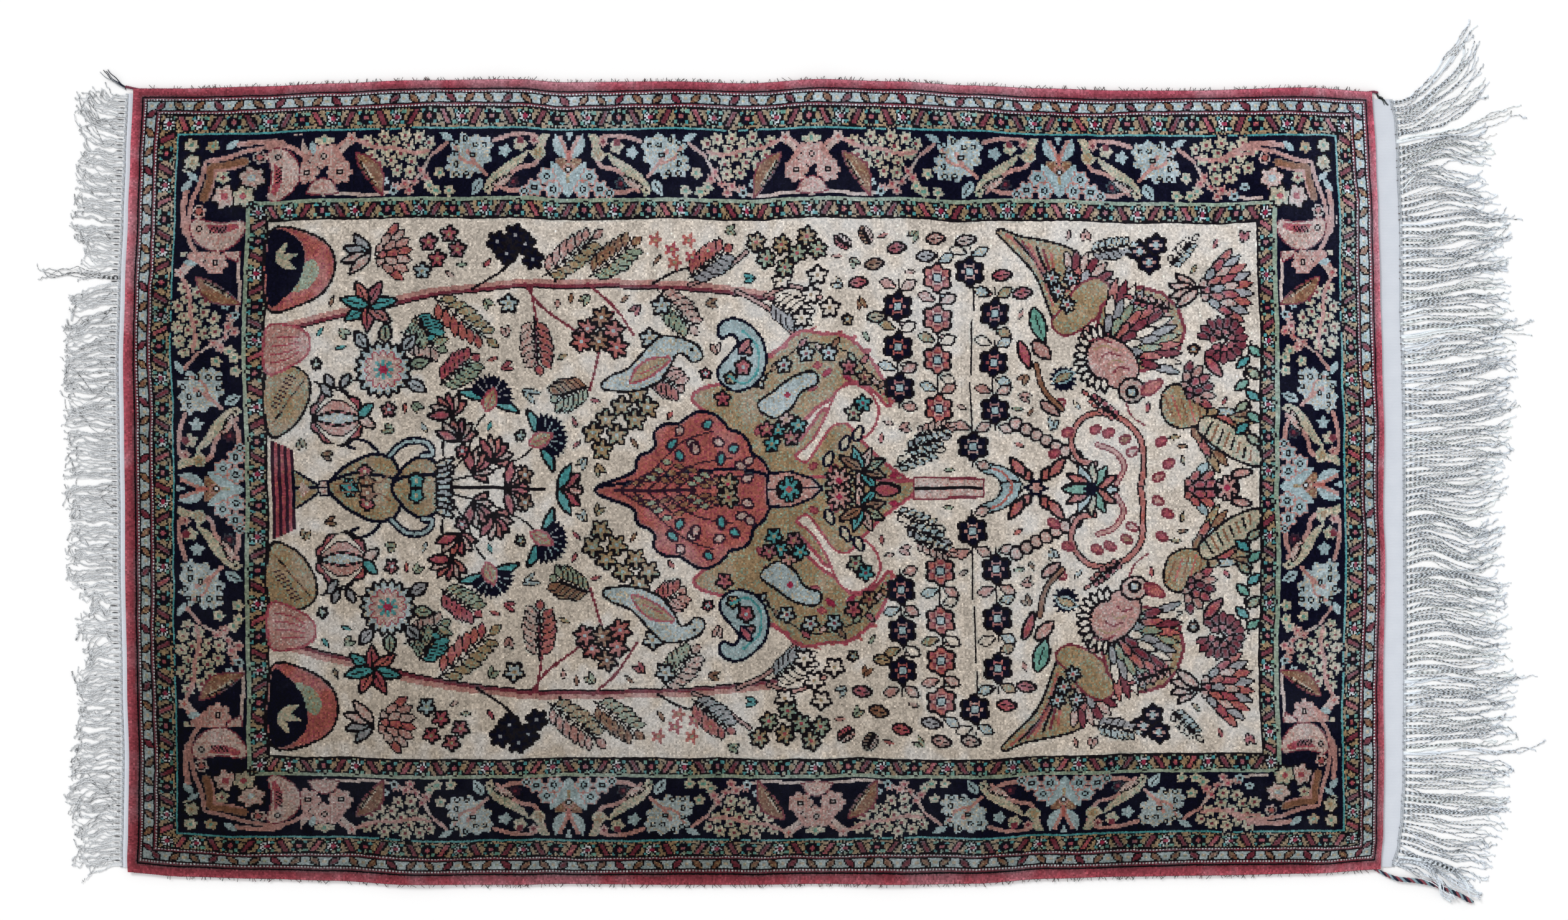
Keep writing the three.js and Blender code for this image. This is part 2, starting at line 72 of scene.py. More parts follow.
# Distance of the pile's short edges from the middle: place across the rug, left, right
SHORT_EDGES = np.array([
    (-390, -613, 613), (-368, -614, 614), (-344, -613, 616), (-271, -612, 617),
    (-198, -614, 616), (-76, -616, 618), (-27, -616, 616), (46, -617, 617),
    (119, -618, 615), (193, -616, 613), (266, -613, 611), (315, -611, 609),
    (390, -608, 605),
], float)

# Outer edge of the wide kilim end: place across the rug, distance from the middle
KILIM_OUTER = np.array([
    (-377, 625), (-352, 631), (-326, 634), (-289, 636), (-137, 637), (46, 636),
    (107, 635), (168, 633), (232, 633), (320, 630), (352, 628), (377, 623),
], float)

# Low ripples of the cloth near its long edges: place, half length, half depth, height
RIPPLES = [
    (66, 392, 44, 110, 2.4),
    (-255, 394, 40, 70, 1.6),
    (-330, -393, 60, 70, 1.8),
    (130, -393, 60, 60, 1.4),
]

# Flow of the long fringe: root, reach, rise by the tip, bow of the middle, sway to and fro
RIGHT_FLOW = np.array([
    (-376, 62, -27, -3, 0), (-366, 84, -26, -4, 0), (-350, 96, -22, -3, 0),
    (-332, 101, -13, -2, 0), (-312, 104, -4, -3, 0), (-283, 106, -1, 0, 0),
    (-246, 108, 4, 0, 0), (-210, 109, 5, -1, 1), (-173, 106, -1, 2, 2),
    (-137, 101, 0, 2, 3), (-100, 97, -3, 2, 4), (-63, 97, 1, -3, 6),
    (-33, 97, -2, -4, 6), (-8, 101, 8, 1, 2), (22, 105, 6, 3, 1),
    (59, 110, 9, 1, 0), (95, 109, 12, 0, -1), (132, 110, 9, 3, 0),
    (168, 110, 3, 5, 1), (190, 108, 14, 1, -2), (217, 108, 12, -1, 0),
    (248, 109, 4, 0, 0), (272, 97, 6, 5, 1), (297, 88, 2, 11, 2),
    (318, 94, 8, 10, 1), (331, 98, 22, 3, 0), (343, 90, 37, -1, 0),
    (355, 86, 55, -4, 0), (370, 70, 70, -5, 0),
], float)

# Flow of the shorter fringe, in the same terms
LEFT_FLOW = np.array([
    (-378, 33, -17, -2, 0), (-365, 52, -8, 0, 0), (-350, 42, -4, 0, 0),
    (-334, 51, -8, 1, 0), (-303, 57, -4, 1, 0), (-265, 53, -6, 0, 1),
    (-226, 47, -1, 0, 0), (-187, 48, -5, 1, 0), (-174, 35, -4, 0, 0),
    (-140, 47, 4, -1, 0), (-121, 32, -1, 0, 0), (-92, 55, 1, 0, 0),
    (-44, 49, 2, 0, 1), (-5, 57, -3, 1, 0), (30, 52, 4, 0, 0),
    (70, 57, 0, 0, 1), (112, 56, -6, 1, 0), (150, 55, -7, 0, 0),
    (186, 51, -12, -1, 0), (206, 44, 2, -2, 0), (220, 36, 5, 0, 0),
    (249, 53, 4, 0, 0), (288, 48, 11, -1, 1), (322, 44, 8, 0, 0),
    (348, 51, 18, -1, 0), (366, 50, 17, 0, 0), (378, 28, 10, 0, 0),
], float)

# Bundles that run on past their neighbours: root, reach, rise
RIGHT_STRAYS = [
    (371, 84, 77), (364, 86, 69), (333, 124, 25), (252, 122, 5), (143, 127, 6), (-92, 117, -2),
    (-194, 131, 4), (-265, 137, 3),
]
LEFT_STRAYS = [(202, 92, 5)]

# A thread gains its rise by this power of its free length
RISE_POWER = 1.5

# Route of the lower binding's loose tail, and how high the threads that cross it lie
TAIL_ROUTE = [(607, -377.5), (616, -382), (630, -387.5), (648, -389.5), (666, -393), (684, -400),
              (705, -411)]
TAIL_HEIGHT = 5.2

# Routes of the clumps of the long fringe that fall across the tail
DRAPED_CLUMPS = [
    [(631, -371), (648, -372), (662, -379), (671, -391), (674, -402), (684, -408)],
    [(632, -366), (660, -370), (684, -379), (697, -390), (702, -399), (713, -403)],
    [(632, -369), (655, -374), (676, -384), (690, -394), (703, -398)],
]

# Where the upper binding runs on past the pile at each corner
UPPER_RIGHT_END = [(607, 383.3), (612, 382.2)]
UPPER_LEFT_END = (-616, 388.3)

# Dyes of the silk, as the eye sees them
DYES = {
    "ivory": "#cbc0b3",
    "silver": "#9aa8ab",
    "sky": "#8fa4a8",
    "navy": "#0b0b1d",
    "black": "#151116",
    "rose": "#934450",
    "terracotta": "#a05a52",
    "tan": "#947c5e",
    "sage": "#86937f",
    "turquoise": "#45898b",
    "pink": "#a97c75",
    "maroon": "#6e2e3a",
    "grey": "#8d8d91",
    "blush": "#b29d95",
    "green": "#5f8f80",
    "brown": "#7c5642",
    "cream": "#aea28c",
    "white": "#c2c6c9",
    "crimson": "#8f2a45",
    "plum": "#2f1a28",
}
DYE_NAMES = list(DYES)


def linear(hex_colour):
    """Linear red, green, blue and one, from an sRGB hex value."""
    parts = [int(hex_colour[i:i + 2], 16) / 255 for i in (1, 3, 5)]
    return [p / 12.92 if p <= 0.04045 else ((p + 0.055) / 1.055) ** 2.4 for p in parts] + [1.0]


def eased(table, at, column):
    """Value of a column at a place in the table's first column, eased from row to row."""
    at = np.clip(np.asarray(at, float), table[0, 0], table[-1, 0])
    after = np.clip(np.searchsorted(table[:, 0], at, side="right"), 1, len(table) - 1)
    low = table[after - 1]
    high = table[after]
    share = (at - low[..., 0]) / (high[..., 0] - low[..., 0])
    share = share * share * (3 - 2 * share)
    return low[..., column] + (high[..., column] - low[..., column]) * share


def plan_point(u, v, inset):
    """Places on the rug's plan at shares u along and v across, drawn in from the outline."""
    nominal_x = LONG_EDGES[0, 0] + (LONG_EDGES[-1, 0] - LONG_EDGES[0, 0]) * u
    lower = eased(LONG_EDGES, nominal_x, 2)
    upper = eased(LONG_EDGES, nominal_x, 1)
    nominal_y = lower + (upper - lower) * v
    left = eased(SHORT_EDGES, nominal_y, 1) + inset
    right = eased(SHORT_EDGES, nominal_y, 2) - inset
    return left + (right - left) * u, lower + inset + (upper - lower - 2 * inset) * v


def lift(x, y):
    """Height that the ripples lift the cloth by."""
    height = np.zeros(np.broadcast(x, y).shape)
    for centre_x, centre_y, half_length, half_depth, top in RIPPLES:
        along = np.minimum(np.abs(x - centre_x) / half_length, 1)
        across = np.minimum(np.abs(y - centre_y) / half_depth, 1)
        height += top * (0.5 + 0.5 * np.cos(np.pi * along)) * (1 - across) ** 2
    return height


def put_in_scene(name, data):
    """An object in the scene, made from its data."""
    made = bpy.data.objects.new(name, data)
    bpy.context.scene.collection.objects.link(made)
    return made


# Camera, straight above the rug: width of the view in metres, lens and sensor in millimetres
FRAME_WIDTH = 1.5372
FRAME_CENTRE = (-0.00085, 0.00313)
LENS = 85.0
SENSOR = 36.0
camera_data = bpy.data.cameras.new("camera")
camera_data.lens = LENS
camera_data.sensor_width = SENSOR
camera = put_in_scene("camera", camera_data)
camera.location = (*FRAME_CENTRE, FRAME_WIDTH * LENS / SENSOR)
bpy.context.scene.camera = camera


def fill_inputs(tree, node, inputs):
    """Gives a node's inputs their values, or links them from sockets."""
    for name, value in inputs.items():
        socket = node.inputs[name]
        if isinstance(value, bpy.types.NodeSocket):
            tree.links.new(value, socket)
        else:
            socket.default_value = value


def add_node(tree, kind, settings=None, inputs=None):
    """Adds a node: settings are its own properties, inputs are values or sockets to link from."""
    node = tree.nodes.new(kind)
    for name, value in (settings or {}).items():
        setattr(node, name, value)
    fill_inputs(tree, node, inputs or {})
    return node


def new_material(name):
    """An empty material, with its tree and its shader."""
    material = bpy.data.materials.new(name)
    material.use_nodes = True
    tree = material.node_tree
    tree.nodes.clear()
    shader = add_node(tree, "ShaderNodeBsdfPrincipled")
    add_node(tree, "ShaderNodeOutputMaterial", inputs={"Surface": shader.outputs["BSDF"]})
    return material, tree, shader


# Scales of the finest patterns, each from its cells to a millimetre
FIBRE_WANDER = 0.9 / MM
FIBRE_ENDS = 1.5 / MM
WARP_RIBS = 0.3 / MM
CLOTH_CLOUDS = 0.06 / MM
YARN_FUZZ = 0.9 / MM


def cut_silk_pile():
    """Cut silk pile: each knot is one dye, its fibre ends fleck it light and dark, and the broad soft
    patches of painted sheen where the nap leans this way and that come in with the knots' colours."""
    material, tree, shader = new_material("cut_silk_pile")
    place = add_node(tree, "ShaderNodeTexCoord").outputs["Object"]
    cell = add_node(tree, "ShaderNodeUVMap", {"uv_map": "Knots"}).outputs["UV"]
    # Fibre ends wander a fifth of a knot over the line to the next one
    wander = add_node(tree, "ShaderNodeTexNoise", inputs={
        "Vector": place, "Scale": FIBRE_WANDER, "Detail": 1.0})
    off = add_node(tree, "ShaderNodeVectorMath", {"operation": "MULTIPLY_ADD"},
                   {0: wander.outputs["Color"], 1: (0.45, 0.45, 0.0), 2: (-0.225, -0.225, 0.0)})
    moved = add_node(tree, "ShaderNodeVectorMath", {"operation": "ADD"},
                     {0: cell, 1: off.outputs["Vector"]})
    parts = add_node(tree, "ShaderNodeSeparateXYZ", inputs={"Vector": moved.outputs["Vector"]})
    picks = [
        add_node(tree, "ShaderNodeMapRange", {"interpolation_type": "LINEAR"},
                 {"Value": parts.outputs[axis], "From Min": 0.44, "From Max": 0.56})
        for axis in ("X", "Y")
    ]
    dyes = [add_node(tree, "ShaderNodeAttribute", {"attribute_name": name}) for name in KNOT_LAYERS]
    rows = [
        add_node(tree, "ShaderNodeMix", {"data_type": "RGBA"}, {
            0: picks[0].outputs["Result"], 6: dyes[k].outputs["Color"], 7: dyes[k + 1].outputs["Color"]})
        for k in (0, 2)
    ]
    knot = add_node(tree, "ShaderNodeMix", {"data_type": "RGBA"},
                    {0: picks[1].outputs["Result"], 6: rows[0].outputs[2], 7: rows[1].outputs[2]})
    # Flecks of single fibre ends, about two thirds of a millimetre apart
    fleck = add_node(tree, "ShaderNodeTexNoise", inputs={
        "Vector": place, "Scale": FIBRE_ENDS, "Detail": 2.0})
    light = add_node(tree, "ShaderNodeMapRange", inputs={
        "Value": fleck.outputs["Fac"], "From Min": 0.25, "From Max": 0.75, "To Min": 0.72, "To Max": 1.28})
    flecked = add_node(tree, "ShaderNodeVectorMath", {"operation": "SCALE"},
                       {0: knot.outputs[2], "Scale": light.outputs["Result"]})
    bump = add_node(tree, "ShaderNodeBump", inputs={
        "Height": fleck.outputs["Fac"], "Strength": 0.35, "Distance": 0.6 * MM})
    fill_inputs(tree, shader, {
        "Base Color": flecked.outputs["Vector"], "Normal": bump.outputs["Normal"], "Roughness": 0.62,
        "Specular IOR Level": 0.02, "Sheen Weight": 0.01, "Sheen Roughness": 0.4})
    return material


def plain_weave(name, colour, shade):
    """Plain-woven undyed warps, about a millimetre from rib to rib: even, matte, faintly ribbed."""
    material, tree, shader = new_material(name)
    place = add_node(tree, "ShaderNodeTexCoord").outputs["Object"]
    ribs = add_node(tree, "ShaderNodeTexWave", {"bands_direction": "Y"},
                    {"Vector": place, "Scale": WARP_RIBS, "Distortion": 1.5, "Detail": 1.0})
    cloud = add_node(tree, "ShaderNodeTexNoise", inputs={
        "Vector": place, "Scale": CLOTH_CLOUDS, "Detail": 4.0})
    tone = add_node(tree, "ShaderNodeMix", {"data_type": "RGBA"},
                    {0: cloud.outputs["Fac"], 6: linear(colour), 7: linear(shade)})
    bump = add_node(tree, "ShaderNodeBump", inputs={
        "Height": ribs.outputs["Fac"], "Strength": 0.4, "Distance": 0.3 * MM})
    fill_inputs(tree, shader, {
        "Base Color": tone.outputs[2], "Normal": bump.outputs["Normal"], "Roughness": 0.8})
    return material


def twisted_yarn(name, roughness):
    """Spun, twisted yarn: dye on the mesh, and painted shade in bands along the turns of its twist."""
    material, tree, shader = new_material(name)
    place = add_node(tree, "ShaderNodeTexCoord").outputs["Object"]
    dye = add_node(tree, "ShaderNodeAttribute", {"attribute_name": "Dye"})
    turns = add_node(tree, "ShaderNodeUVMap", {"uv_map": "Twist"})
    plies = add_node(tree, "ShaderNodeTexWave", {"bands_direction": "DIAGONAL"},
                     {"Vector": turns.outputs["UV"], "Scale": 1.0})
    fuzz = add_node(tree, "ShaderNodeTexNoise", inputs={
        "Vector": place, "Scale": YARN_FUZZ, "Detail": 2.0})
    # Painted shade and highlight in bands along the turns of the twist, from 0.94 to 1.04 of the dye
    depth = add_node(tree, "ShaderNodeMapRange", inputs={
        "Value": plies.outputs["Fac"], "To Min": 0.94, "To Max": 1.04})
    fleck = add_node(tree, "ShaderNodeMapRange", inputs={
        "Value": fuzz.outputs["Fac"], "From Min": 0.3, "From Max": 0.7, "To Min": 0.88, "To Max": 1.1})
    # shade: the painted twist shade times the random tone of the fuzz
    shade = add_node(tree, "ShaderNodeMath", {"operation": "MULTIPLY"},
                     {0: depth.outputs["Result"], 1: fleck.outputs["Result"]})
    toned = add_node(tree, "ShaderNodeVectorMath", {"operation": "SCALE"},
                     {0: dye.outputs["Color"], "Scale": shade.outputs["Value"]})
    fill_inputs(tree, shader, {
        "Base Color": toned.outputs["Vector"], "Roughness": roughness, "Specular IOR Level": 0.2})
    return material


def white_floor():
    """Matte white studio paper."""
    material, tree, shader = new_material("studio_paper")
    fill_inputs(tree, shader, {"Base Color": linear("#fefefe"), "Roughness": 0.9})
    return material


def piece(name, points, faces, material, node, smooth=True):
    """A mesh object from points in millimetres on the tables' plan, riding on the rug."""
    mesh = bpy.data.meshes.new(name)
    mesh.from_pydata(((points + PLAN_SHIFT) * MM).tolist(), [], faces)
    mesh.polygons.foreach_set("use_smooth", [smooth] * len(mesh.polygons))
    mesh.materials.append(material)
    mesh.update()
    made = put_in_scene(name, mesh)
    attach(made, "root")
    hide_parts(node)
    return made


def grid_faces(index):
    """The four-sided faces of a grid of numbered points."""
    return np.stack([index[:-1, :-1], index[1:, :-1], index[1:, 1:], index[:-1, 1:]], -1).reshape(-1, 4)


KNOT_LAYERS = ["KnotA", "KnotB", "KnotC", "KnotD"]
dice = np.random.default_rng(41)

# The cartoon: one cell for each knot. Bands run round it in knots from the pile's edge.
BORDER = 84
FIELD_LEFT = -297
FIELD_RIGHT = 309
FIELD_LOW = -168
FIELD_HIGH = 162
KNOT_COLUMNS = FIELD_RIGHT - FIELD_LEFT + 2 * BORDER
KNOT_ROWS = FIELD_HIGH - FIELD_LOW + 2 * BORDER
AXIS = (FIELD_LOW + FIELD_HIGH) / 2
NAVY_TOP = 32

# Where each band of the cartoon ends, in knots from the edge, and where it ends on each side
BAND_ENDS = np.array([0, 5, 9, 15, 19, 30, 32, 72, 74, 83, 84], float)
BAND_PLACES = {
    "left": np.array([0, 6, 9.4, 14.6, 18, 29, 31, 73, 75.5, 86, 87], float),
    "right": np.array([0, 3.6, 6.9, 12, 14.7, 24, 26.3, 63.3, 66, 74.2, 75.5], float),
    "upper": np.array([0, 5, 8, 13.4, 16.4, 28, 30.3, 70.3, 72.6, 82.5, 83.5], float),
    "lower": np.array([0, 5.8, 9.8, 14.8, 17.6, 26.7, 29, 64.5, 66.6, 75.6, 76.6], float),
}
HALF_LENGTH = 384.0
HALF_WIDTH = 245.0


def line_distance(x, y, route, closed):
    """Distance of each knot from a route, and whether it is inside the route when that is closed."""
    nearest = np.full(x.shape, 1e9)
    inside = np.zeros(x.shape, bool)
    ahead = np.roll(route, -1, axis=0) if closed else route[1:]
    for (ax, ay), (bx, by) in zip(route, ahead):
        run_x, run_y = bx - ax, by - ay
        along = np.clip(((x - ax) * run_x + (y - ay) * run_y) / (run_x ** 2 + run_y ** 2 + 1e-9), 0, 1)
        nearest = np.minimum(nearest, np.hypot(x - ax - along * run_x, y - ay - along * run_y))
        if closed and ay != by:
            inside ^= ((ay > y) != (by > y)) & (x < run_x * (y - ay) / run_y + ax)
    return nearest, inside


# Dyes whose knots are mixed with a few of a second one inside a motif, and the share of these
MIXED_SHARE = 0.2
MIXED_WITH = {"cream": "sage", "blush": "pink", "pink": "blush", "sky": "silver", "silver": "cream",
              "tan": "sage", "brown": "tan", "sage": "tan", "terracotta": "rose", "rose": "terracotta"}


class Cartoon:
    """Dye of every knot, on a grid in knots with the rug's middle at nought."""

    def __init__(self):
        self.low = np.array([FIELD_LEFT - BORDER, FIELD_LOW - BORDER])
        self.limits = (*self.low, self.low[0] + KNOT_COLUMNS, self.low[1] + KNOT_ROWS)
        self.knots = np.zeros((KNOT_COLUMNS, KNOT_ROWS), np.uint8)
        self.x = np.arange(KNOT_COLUMNS)[:, None] + self.low[0] + 0.5 + np.zeros((1, KNOT_ROWS))
        self.y = np.arange(KNOT_ROWS)[None, :] + self.low[1] + 0.5 + np.zeros((KNOT_COLUMNS, 1))

    def dye(self, mask, name, window=slice(None)):
        self.knots[window][mask] = DYE_NAMES.index(name)

    def window(self, points, margin):
        low = np.clip(np.floor(points.min(0) - margin) - self.low, 0, self.knots.shape).astype(int)
        high = np.clip(np.ceil(points.max(0) + margin) - self.low, 0, self.knots.shape).astype(int)
        return slice(low[0], high[0]), slice(low[1], high[1])

    def patch(self, outline, fill, edge=None, edge_width=1.0):
        """Fills a closed outline with a dye, inside an edge of another dye."""
        window = self.window(outline, edge_width + 1)
        nearest, inside = line_distance(self.x[window], self.y[window], outline, True)
        if edge:
            self.dye(~inside & (nearest < edge_width), edge, window)
        if fill:
            self.dye(inside, fill, window)
        if fill in MIXED_WITH:
            self.dye(inside & (dice.random(inside.shape) < MIXED_SHARE), MIXED_WITH[fill], window)

    def thread(self, route, width, fill, edge=None, edge_width=1.0):
        """Draws a line of a given width in knots along a route, with edges beside it."""
        window = self.window(route, width + edge_width + 1)
        nearest, _ = line_distance(self.x[window], self.y[window], route, False)
        if edge:
            self.dye(nearest < width / 2 + edge_width, edge, window)
        if fill:
            self.dye(nearest < width / 2, fill, window)


cartoon = Cartoon()


def ring(centre, radius, petals=0, depth=0.0, turn=0.0, stretch=1.0):
    """A closed round outline, lobed into petals when there are any."""
    angles = np.linspace(0, 2 * np.pi, max(12, petals * 6), endpoint=False)
    reach = radius * (1 - depth / 2 + depth / 2 * np.cos(petals * angles))
    return np.stack([centre[0] + reach * np.cos(angles + turn),
                     centre[1] + stretch * reach * np.sin(angles + turn)], 1)


def spindle(start, end, width, bend=0.0, fullness=0.5, points=8):
    """A pointed leaf outline from start to end, widest at a share of its length, bent to one side."""
    start, end = np.asarray(start, float), np.asarray(end, float)
    along = end - start
    across = np.array([-along[1], along[0]]) / (np.hypot(*along) + 1e-9)
    share = np.linspace(0, 1, points)
    swell = np.sin(np.pi * share ** (math.log(0.5) / math.log(fullness)))
    spine = start + share[:, None] * along + (bend * np.sin(np.pi * share))[:, None] * across
    side = (width / 2 * swell)[:, None] * across
    return np.concatenate([spine + side, (spine - side)[-2:0:-1]])


def soft(points, steps=5, closed=False):
    """A soft curve through the points of a route."""
    points = np.asarray(points, float)
    if closed:
        padded = np.concatenate([points[-1:], points, points[:2]])
    else:
        padded = np.concatenate([2 * points[:1] - points[1:2], points, 2 * points[-1:] - points[-2:-1]])
    share = np.linspace(0, 1, steps, endpoint=False)[:, None]
    runs = [
        0.5 * (2 * b + (c - a) * share + (2 * a - 5 * b + 4 * c - d) * share ** 2
               + (3 * b - a - 3 * c + d) * share ** 3)
        for a, b, c, d in zip(padded[:-3], padded[1:-2], padded[2:-1], padded[3:])
    ]
    return np.concatenate(runs if closed else [*runs, points[-1:]])


def polar(x, v, reach, angle, rise=None):
    """The point at a distance and an angle from another, with a rise of its own if need be."""
    return x + reach * math.cos(angle), v + (reach if rise is None else rise) * math.sin(angle)


class Pen:
    """Draws motifs in a place of their own: put maps their two measures to the cartoon."""

    def __init__(self, put):
        self.put = put

    def moved(self, outline):
        outline = np.asarray(outline, float)
        return np.stack(self.put(outline[:, 0], outline[:, 1]), 1)

    def patch(self, outline, fill, edge="black", edge_width=1.1):
        cartoon.patch(self.moved(outline), fill, edge, edge_width)

    def curved(self, points, *dyes, steps=3):
        """A patch inside a soft closed curve through the points."""
        self.patch(soft(points, steps, True), *dyes)

    def thread(self, points, width, fill, edge=None, edge_width=0.9):
        cartoon.thread(self.moved(soft(points)), width, fill, edge, edge_width)

    def leaves(self, x, v, reach, angles, width, dyes, *edge_and_vein, rise=None):
        """Leaves from one point at several angles, in several dyes by turns."""
        for k, angle in enumerate(angles):
            self.leaf((x, v), polar(x, v, reach, angle, rise), width, dyes[k % len(dyes)], *edge_and_vein)

    def leaf(self, start, end, width, fill, edge="black", vein=None, bend=0.0, fullness=0.45):
        self.patch(spindle(start, end, width, bend, fullness), fill, edge)
        if vein:
            start, end = np.asarray(start, float), np.asarray(end, float)
            self.thread([start + 0.2 * (end - start), start + 0.75 * (end - start)], 0.9, vein)

    def blossom(self, x, y, radius, fill, heart="maroon", petals=5, edge="black", depth=0.34, turn=0.3,
                eye=0.3):
        self.patch(ring((x, y), radius, petals, depth, turn), fill, edge)
        self.patch(ring((x, y), max(0.9, radius * eye)), heart, None)

    def eyed(self, x, y, radius, fill, petals=6, edge="pink", iris=None):
        """A lobed flower with a dark ring round a pale eye."""
        self.patch(ring((x, y), radius, petals, 0.3), fill, edge, 0.8)
        self.patch(ring((x, y), 2.1), "black", None)
        self.patch(ring((x, y), 1.1), iris or fill, None)

    def rosette(self, x, y, petal, heart, radius=3.9):
        """A small guard flower: eight petals round a heart."""
        for k in range(8):
            angle = math.pi * (k + 0.5) / 4
            root, tip = polar(x, y, 0.4 * radius, angle), polar(x, y, radius, angle)
            self.patch(spindle(root, tip, 0.5 * radius, points=5), petal, "black", 0.7)
        self.patch(ring((x, y), 0.4 * radius), heart, None)

    def feather(self, start, end, width, fill, second, edge="black", leaves=6, bend=0.0):
        """A frond: pairs of slim leaves along a stem, in two dyes."""
        start, end = np.asarray(start, float), np.asarray(end, float)
        along = end - start
        unit = along / np.hypot(*along)
        across = np.array([-unit[1], unit[0]])
        self.thread([start, (start + end) / 2 + bend * across, end], 1.0, "black")
        for k in range(leaves):
            share = 0.12 + 0.8 * k / leaves
            root = start + share * along + bend * math.sin(math.pi * share) * across
            size = width * (1 - 0.4 * abs(share - 0.4) / 0.6)
            for side, dye in ((1, fill), (-1, second)):
                tip = root + 0.42 * size * unit + side * 0.5 * size * across
                outline = spindle(root + side * 1.2 * across, tip, 0.2 * size + 0.9, fullness=0.55)
                self.patch(outline, dye, edge, 0.75)
        self.patch(spindle(end - 0.08 * along, end + 0.12 * along, 0.22 * width), fill, edge, 0.75)


def cartoon_margins():
    """Each knot's distance in knots from the nearer long edge, and from the nearer end."""
    low_x, low_y, high_x, high_y = cartoon.limits
    x, y = cartoon.x, cartoon.y
    return np.minimum(y - low_y, high_y - y), np.minimum(x - low_x, high_x - x)


def guards():
    """The plain bands, dotted lines and grounds, in rings round the cartoon."""
    across, ends = cartoon_margins()
    depth = np.minimum(across, ends)
    along = np.where(ends < across, cartoon.y, cartoon.x)
    grounds = [(0, "rose"), (5, "black"), (9, "silver"), (15, "black"), (19, "tan"), (29.6, "turquoise"),
               (31.4, "navy"), (72, "sage"), (74, "tan"), (83, "black"), (84, "ivory")]
    for start, name in grounds:
        cartoon.dye(depth > start, name)
    dots = np.floor(along) % 2 == 0
    for start in (6, 16):
        cartoon.dye((depth > start) & (depth < start + 2), "maroon")
        cartoon.dye((depth > start + 1) & (depth < start + 2) & dots, "white")
    for start in (19, 28.6, 74, 82):
        cartoon.dye((depth > start) & (depth < start + 1) & (dice.random(depth.shape) < 0.55), "black")


def side_pens():
    """For each side of the cartoon, a pen in along and depth, with the side's first and last place."""
    low_x, low_y, high_x, high_y = cartoon.limits
    return {
        "upper": (Pen(lambda s, d: (s, high_y - d)), low_x, high_x),
        "lower": (Pen(lambda s, d: (s, low_y + d)), low_x, high_x),
        "left": (Pen(lambda s, d: (low_x + d, s)), low_y, high_y),
        "right": (Pen(lambda s, d: (high_x - d, s)), low_y, high_y),
    }


def ribbon_guard(pen, first, last, top, depth):
    """A tan guard: slanted red bars that alternate, with flowers and green leaves between."""
    count = 2 * round((last - first) / 40)
    gap = (last - first) / count
    middle = top + depth / 2
    for k in range(count + 1):
        s = first + k * gap
        lean = 2.3 if k % 2 == 0 else -2.3
        for side in (-1, 1):
            vine = [(s + side * 2, middle - side * lean), (s + side * 5, middle + 3.4),
                    (s + side * 9, middle - 3.6)]
            pen.thread(vine, 0.8, "black")
            for away, up, dye in ((6.2, 2.9, "green"), (6.6, -2.7, "turquoise"), (9.3, 3.6, "sage")):
                pen.patch(ring((s + side * away, middle + side * up), 1.2), dye, "black", 0.6)
        bar = [(s - lean - 1.4, top + 0.6), (s - lean + 1.4, top + 0.6),
               (s + lean + 1.4, top + depth - 0.6), (s + lean - 1.4, top + depth - 0.6)]
        pen.patch(bar, "maroon" if k % 4 else "rose", "black", 1.0)
        if k < count:
            pale = k % 2 == 0
            pen.rosette(s + gap / 2, middle, "white" if pale else "navy", "crimson" if pale else "rose",
                        min(3.9, depth / 2 - 0.7))


def pale_guard(pen, first, last, step=11.6):
    """The pale guard: small leaning lozenges, each in a dark line."""
    count = 2 * round((last - first) / step / 2)
    gap = (last - first) / count
    for k in range(count):
        s = first + (k + 0.5) * gap
        lean = 2.6 if k % 2 == 0 else -2.6
        lozenge = spindle((s - lean, 14.8), (s + lean, 9.2), 3.6, points=7)
        pen.patch(lozenge, "brown" if k % 3 else "maroon", "black", 0.9)
        pen.patch(ring((s + gap / 2, 12), 1.2), "cream", None)


def placed(pen, s):
    """A pen that starts at a place along the navy border and at the border's outer edge."""
    return Pen(lambda a, b: pen.put(s + a, NAVY_TOP + b))


def lily(pen):
    """Two pale leaves over a brown four-petalled flower with a round eye."""
    for side in (-1, 1):
        pen.leaf((side * 2.5, 16), (side * 9, 1), 8, "sky", None, "silver")
        pen.thread([(0, 18), (side * 2, 11), (side * 5.5, 3)], 2.4, "pink")
        pen.leaf((0, 23), (side * 8, 16), 7, "brown", None, fullness=0.6)
        pen.leaf((0, 23), (side * 9, 31), 7, "terracotta", None, fullness=0.6)
    pen.patch([(-2, 0), (2, 0), (0, 7)], "sky", None)
    pen.thread([(0, 12), (0, 20)], 3, "terracotta")
    pen.leaf((0, 18), (0, 32), 7, "tan", None)
    pen.eyed(0, 23, 3.2, "brown", iris="white")
    pen.leaf((0, 30), (0, 40), 5, "sky", None)
    for side in (-1, 1):
        pen.leaf((side * 2, 37), (side * 11.5, 17), 8, "sky", None, bend=side * -1.5)
        for away, deep in ((13, 27), (20, 34.5), (8.8, 34.5), (26, 37)):
            pen.eyed(side * away, deep, 5.2 if away < 26 else 3, "sky")


def double_flower(pen, a, b, radius):
    """An eyed blush flower with a smaller one inside it."""
    pen.eyed(a, b, radius, "blush", 7)
    pen.patch(ring((a, b), 5.4, 7, 0.5), None, "pink", 0.6)
    pen.eyed(a, b, 3.0, "blush", 7)


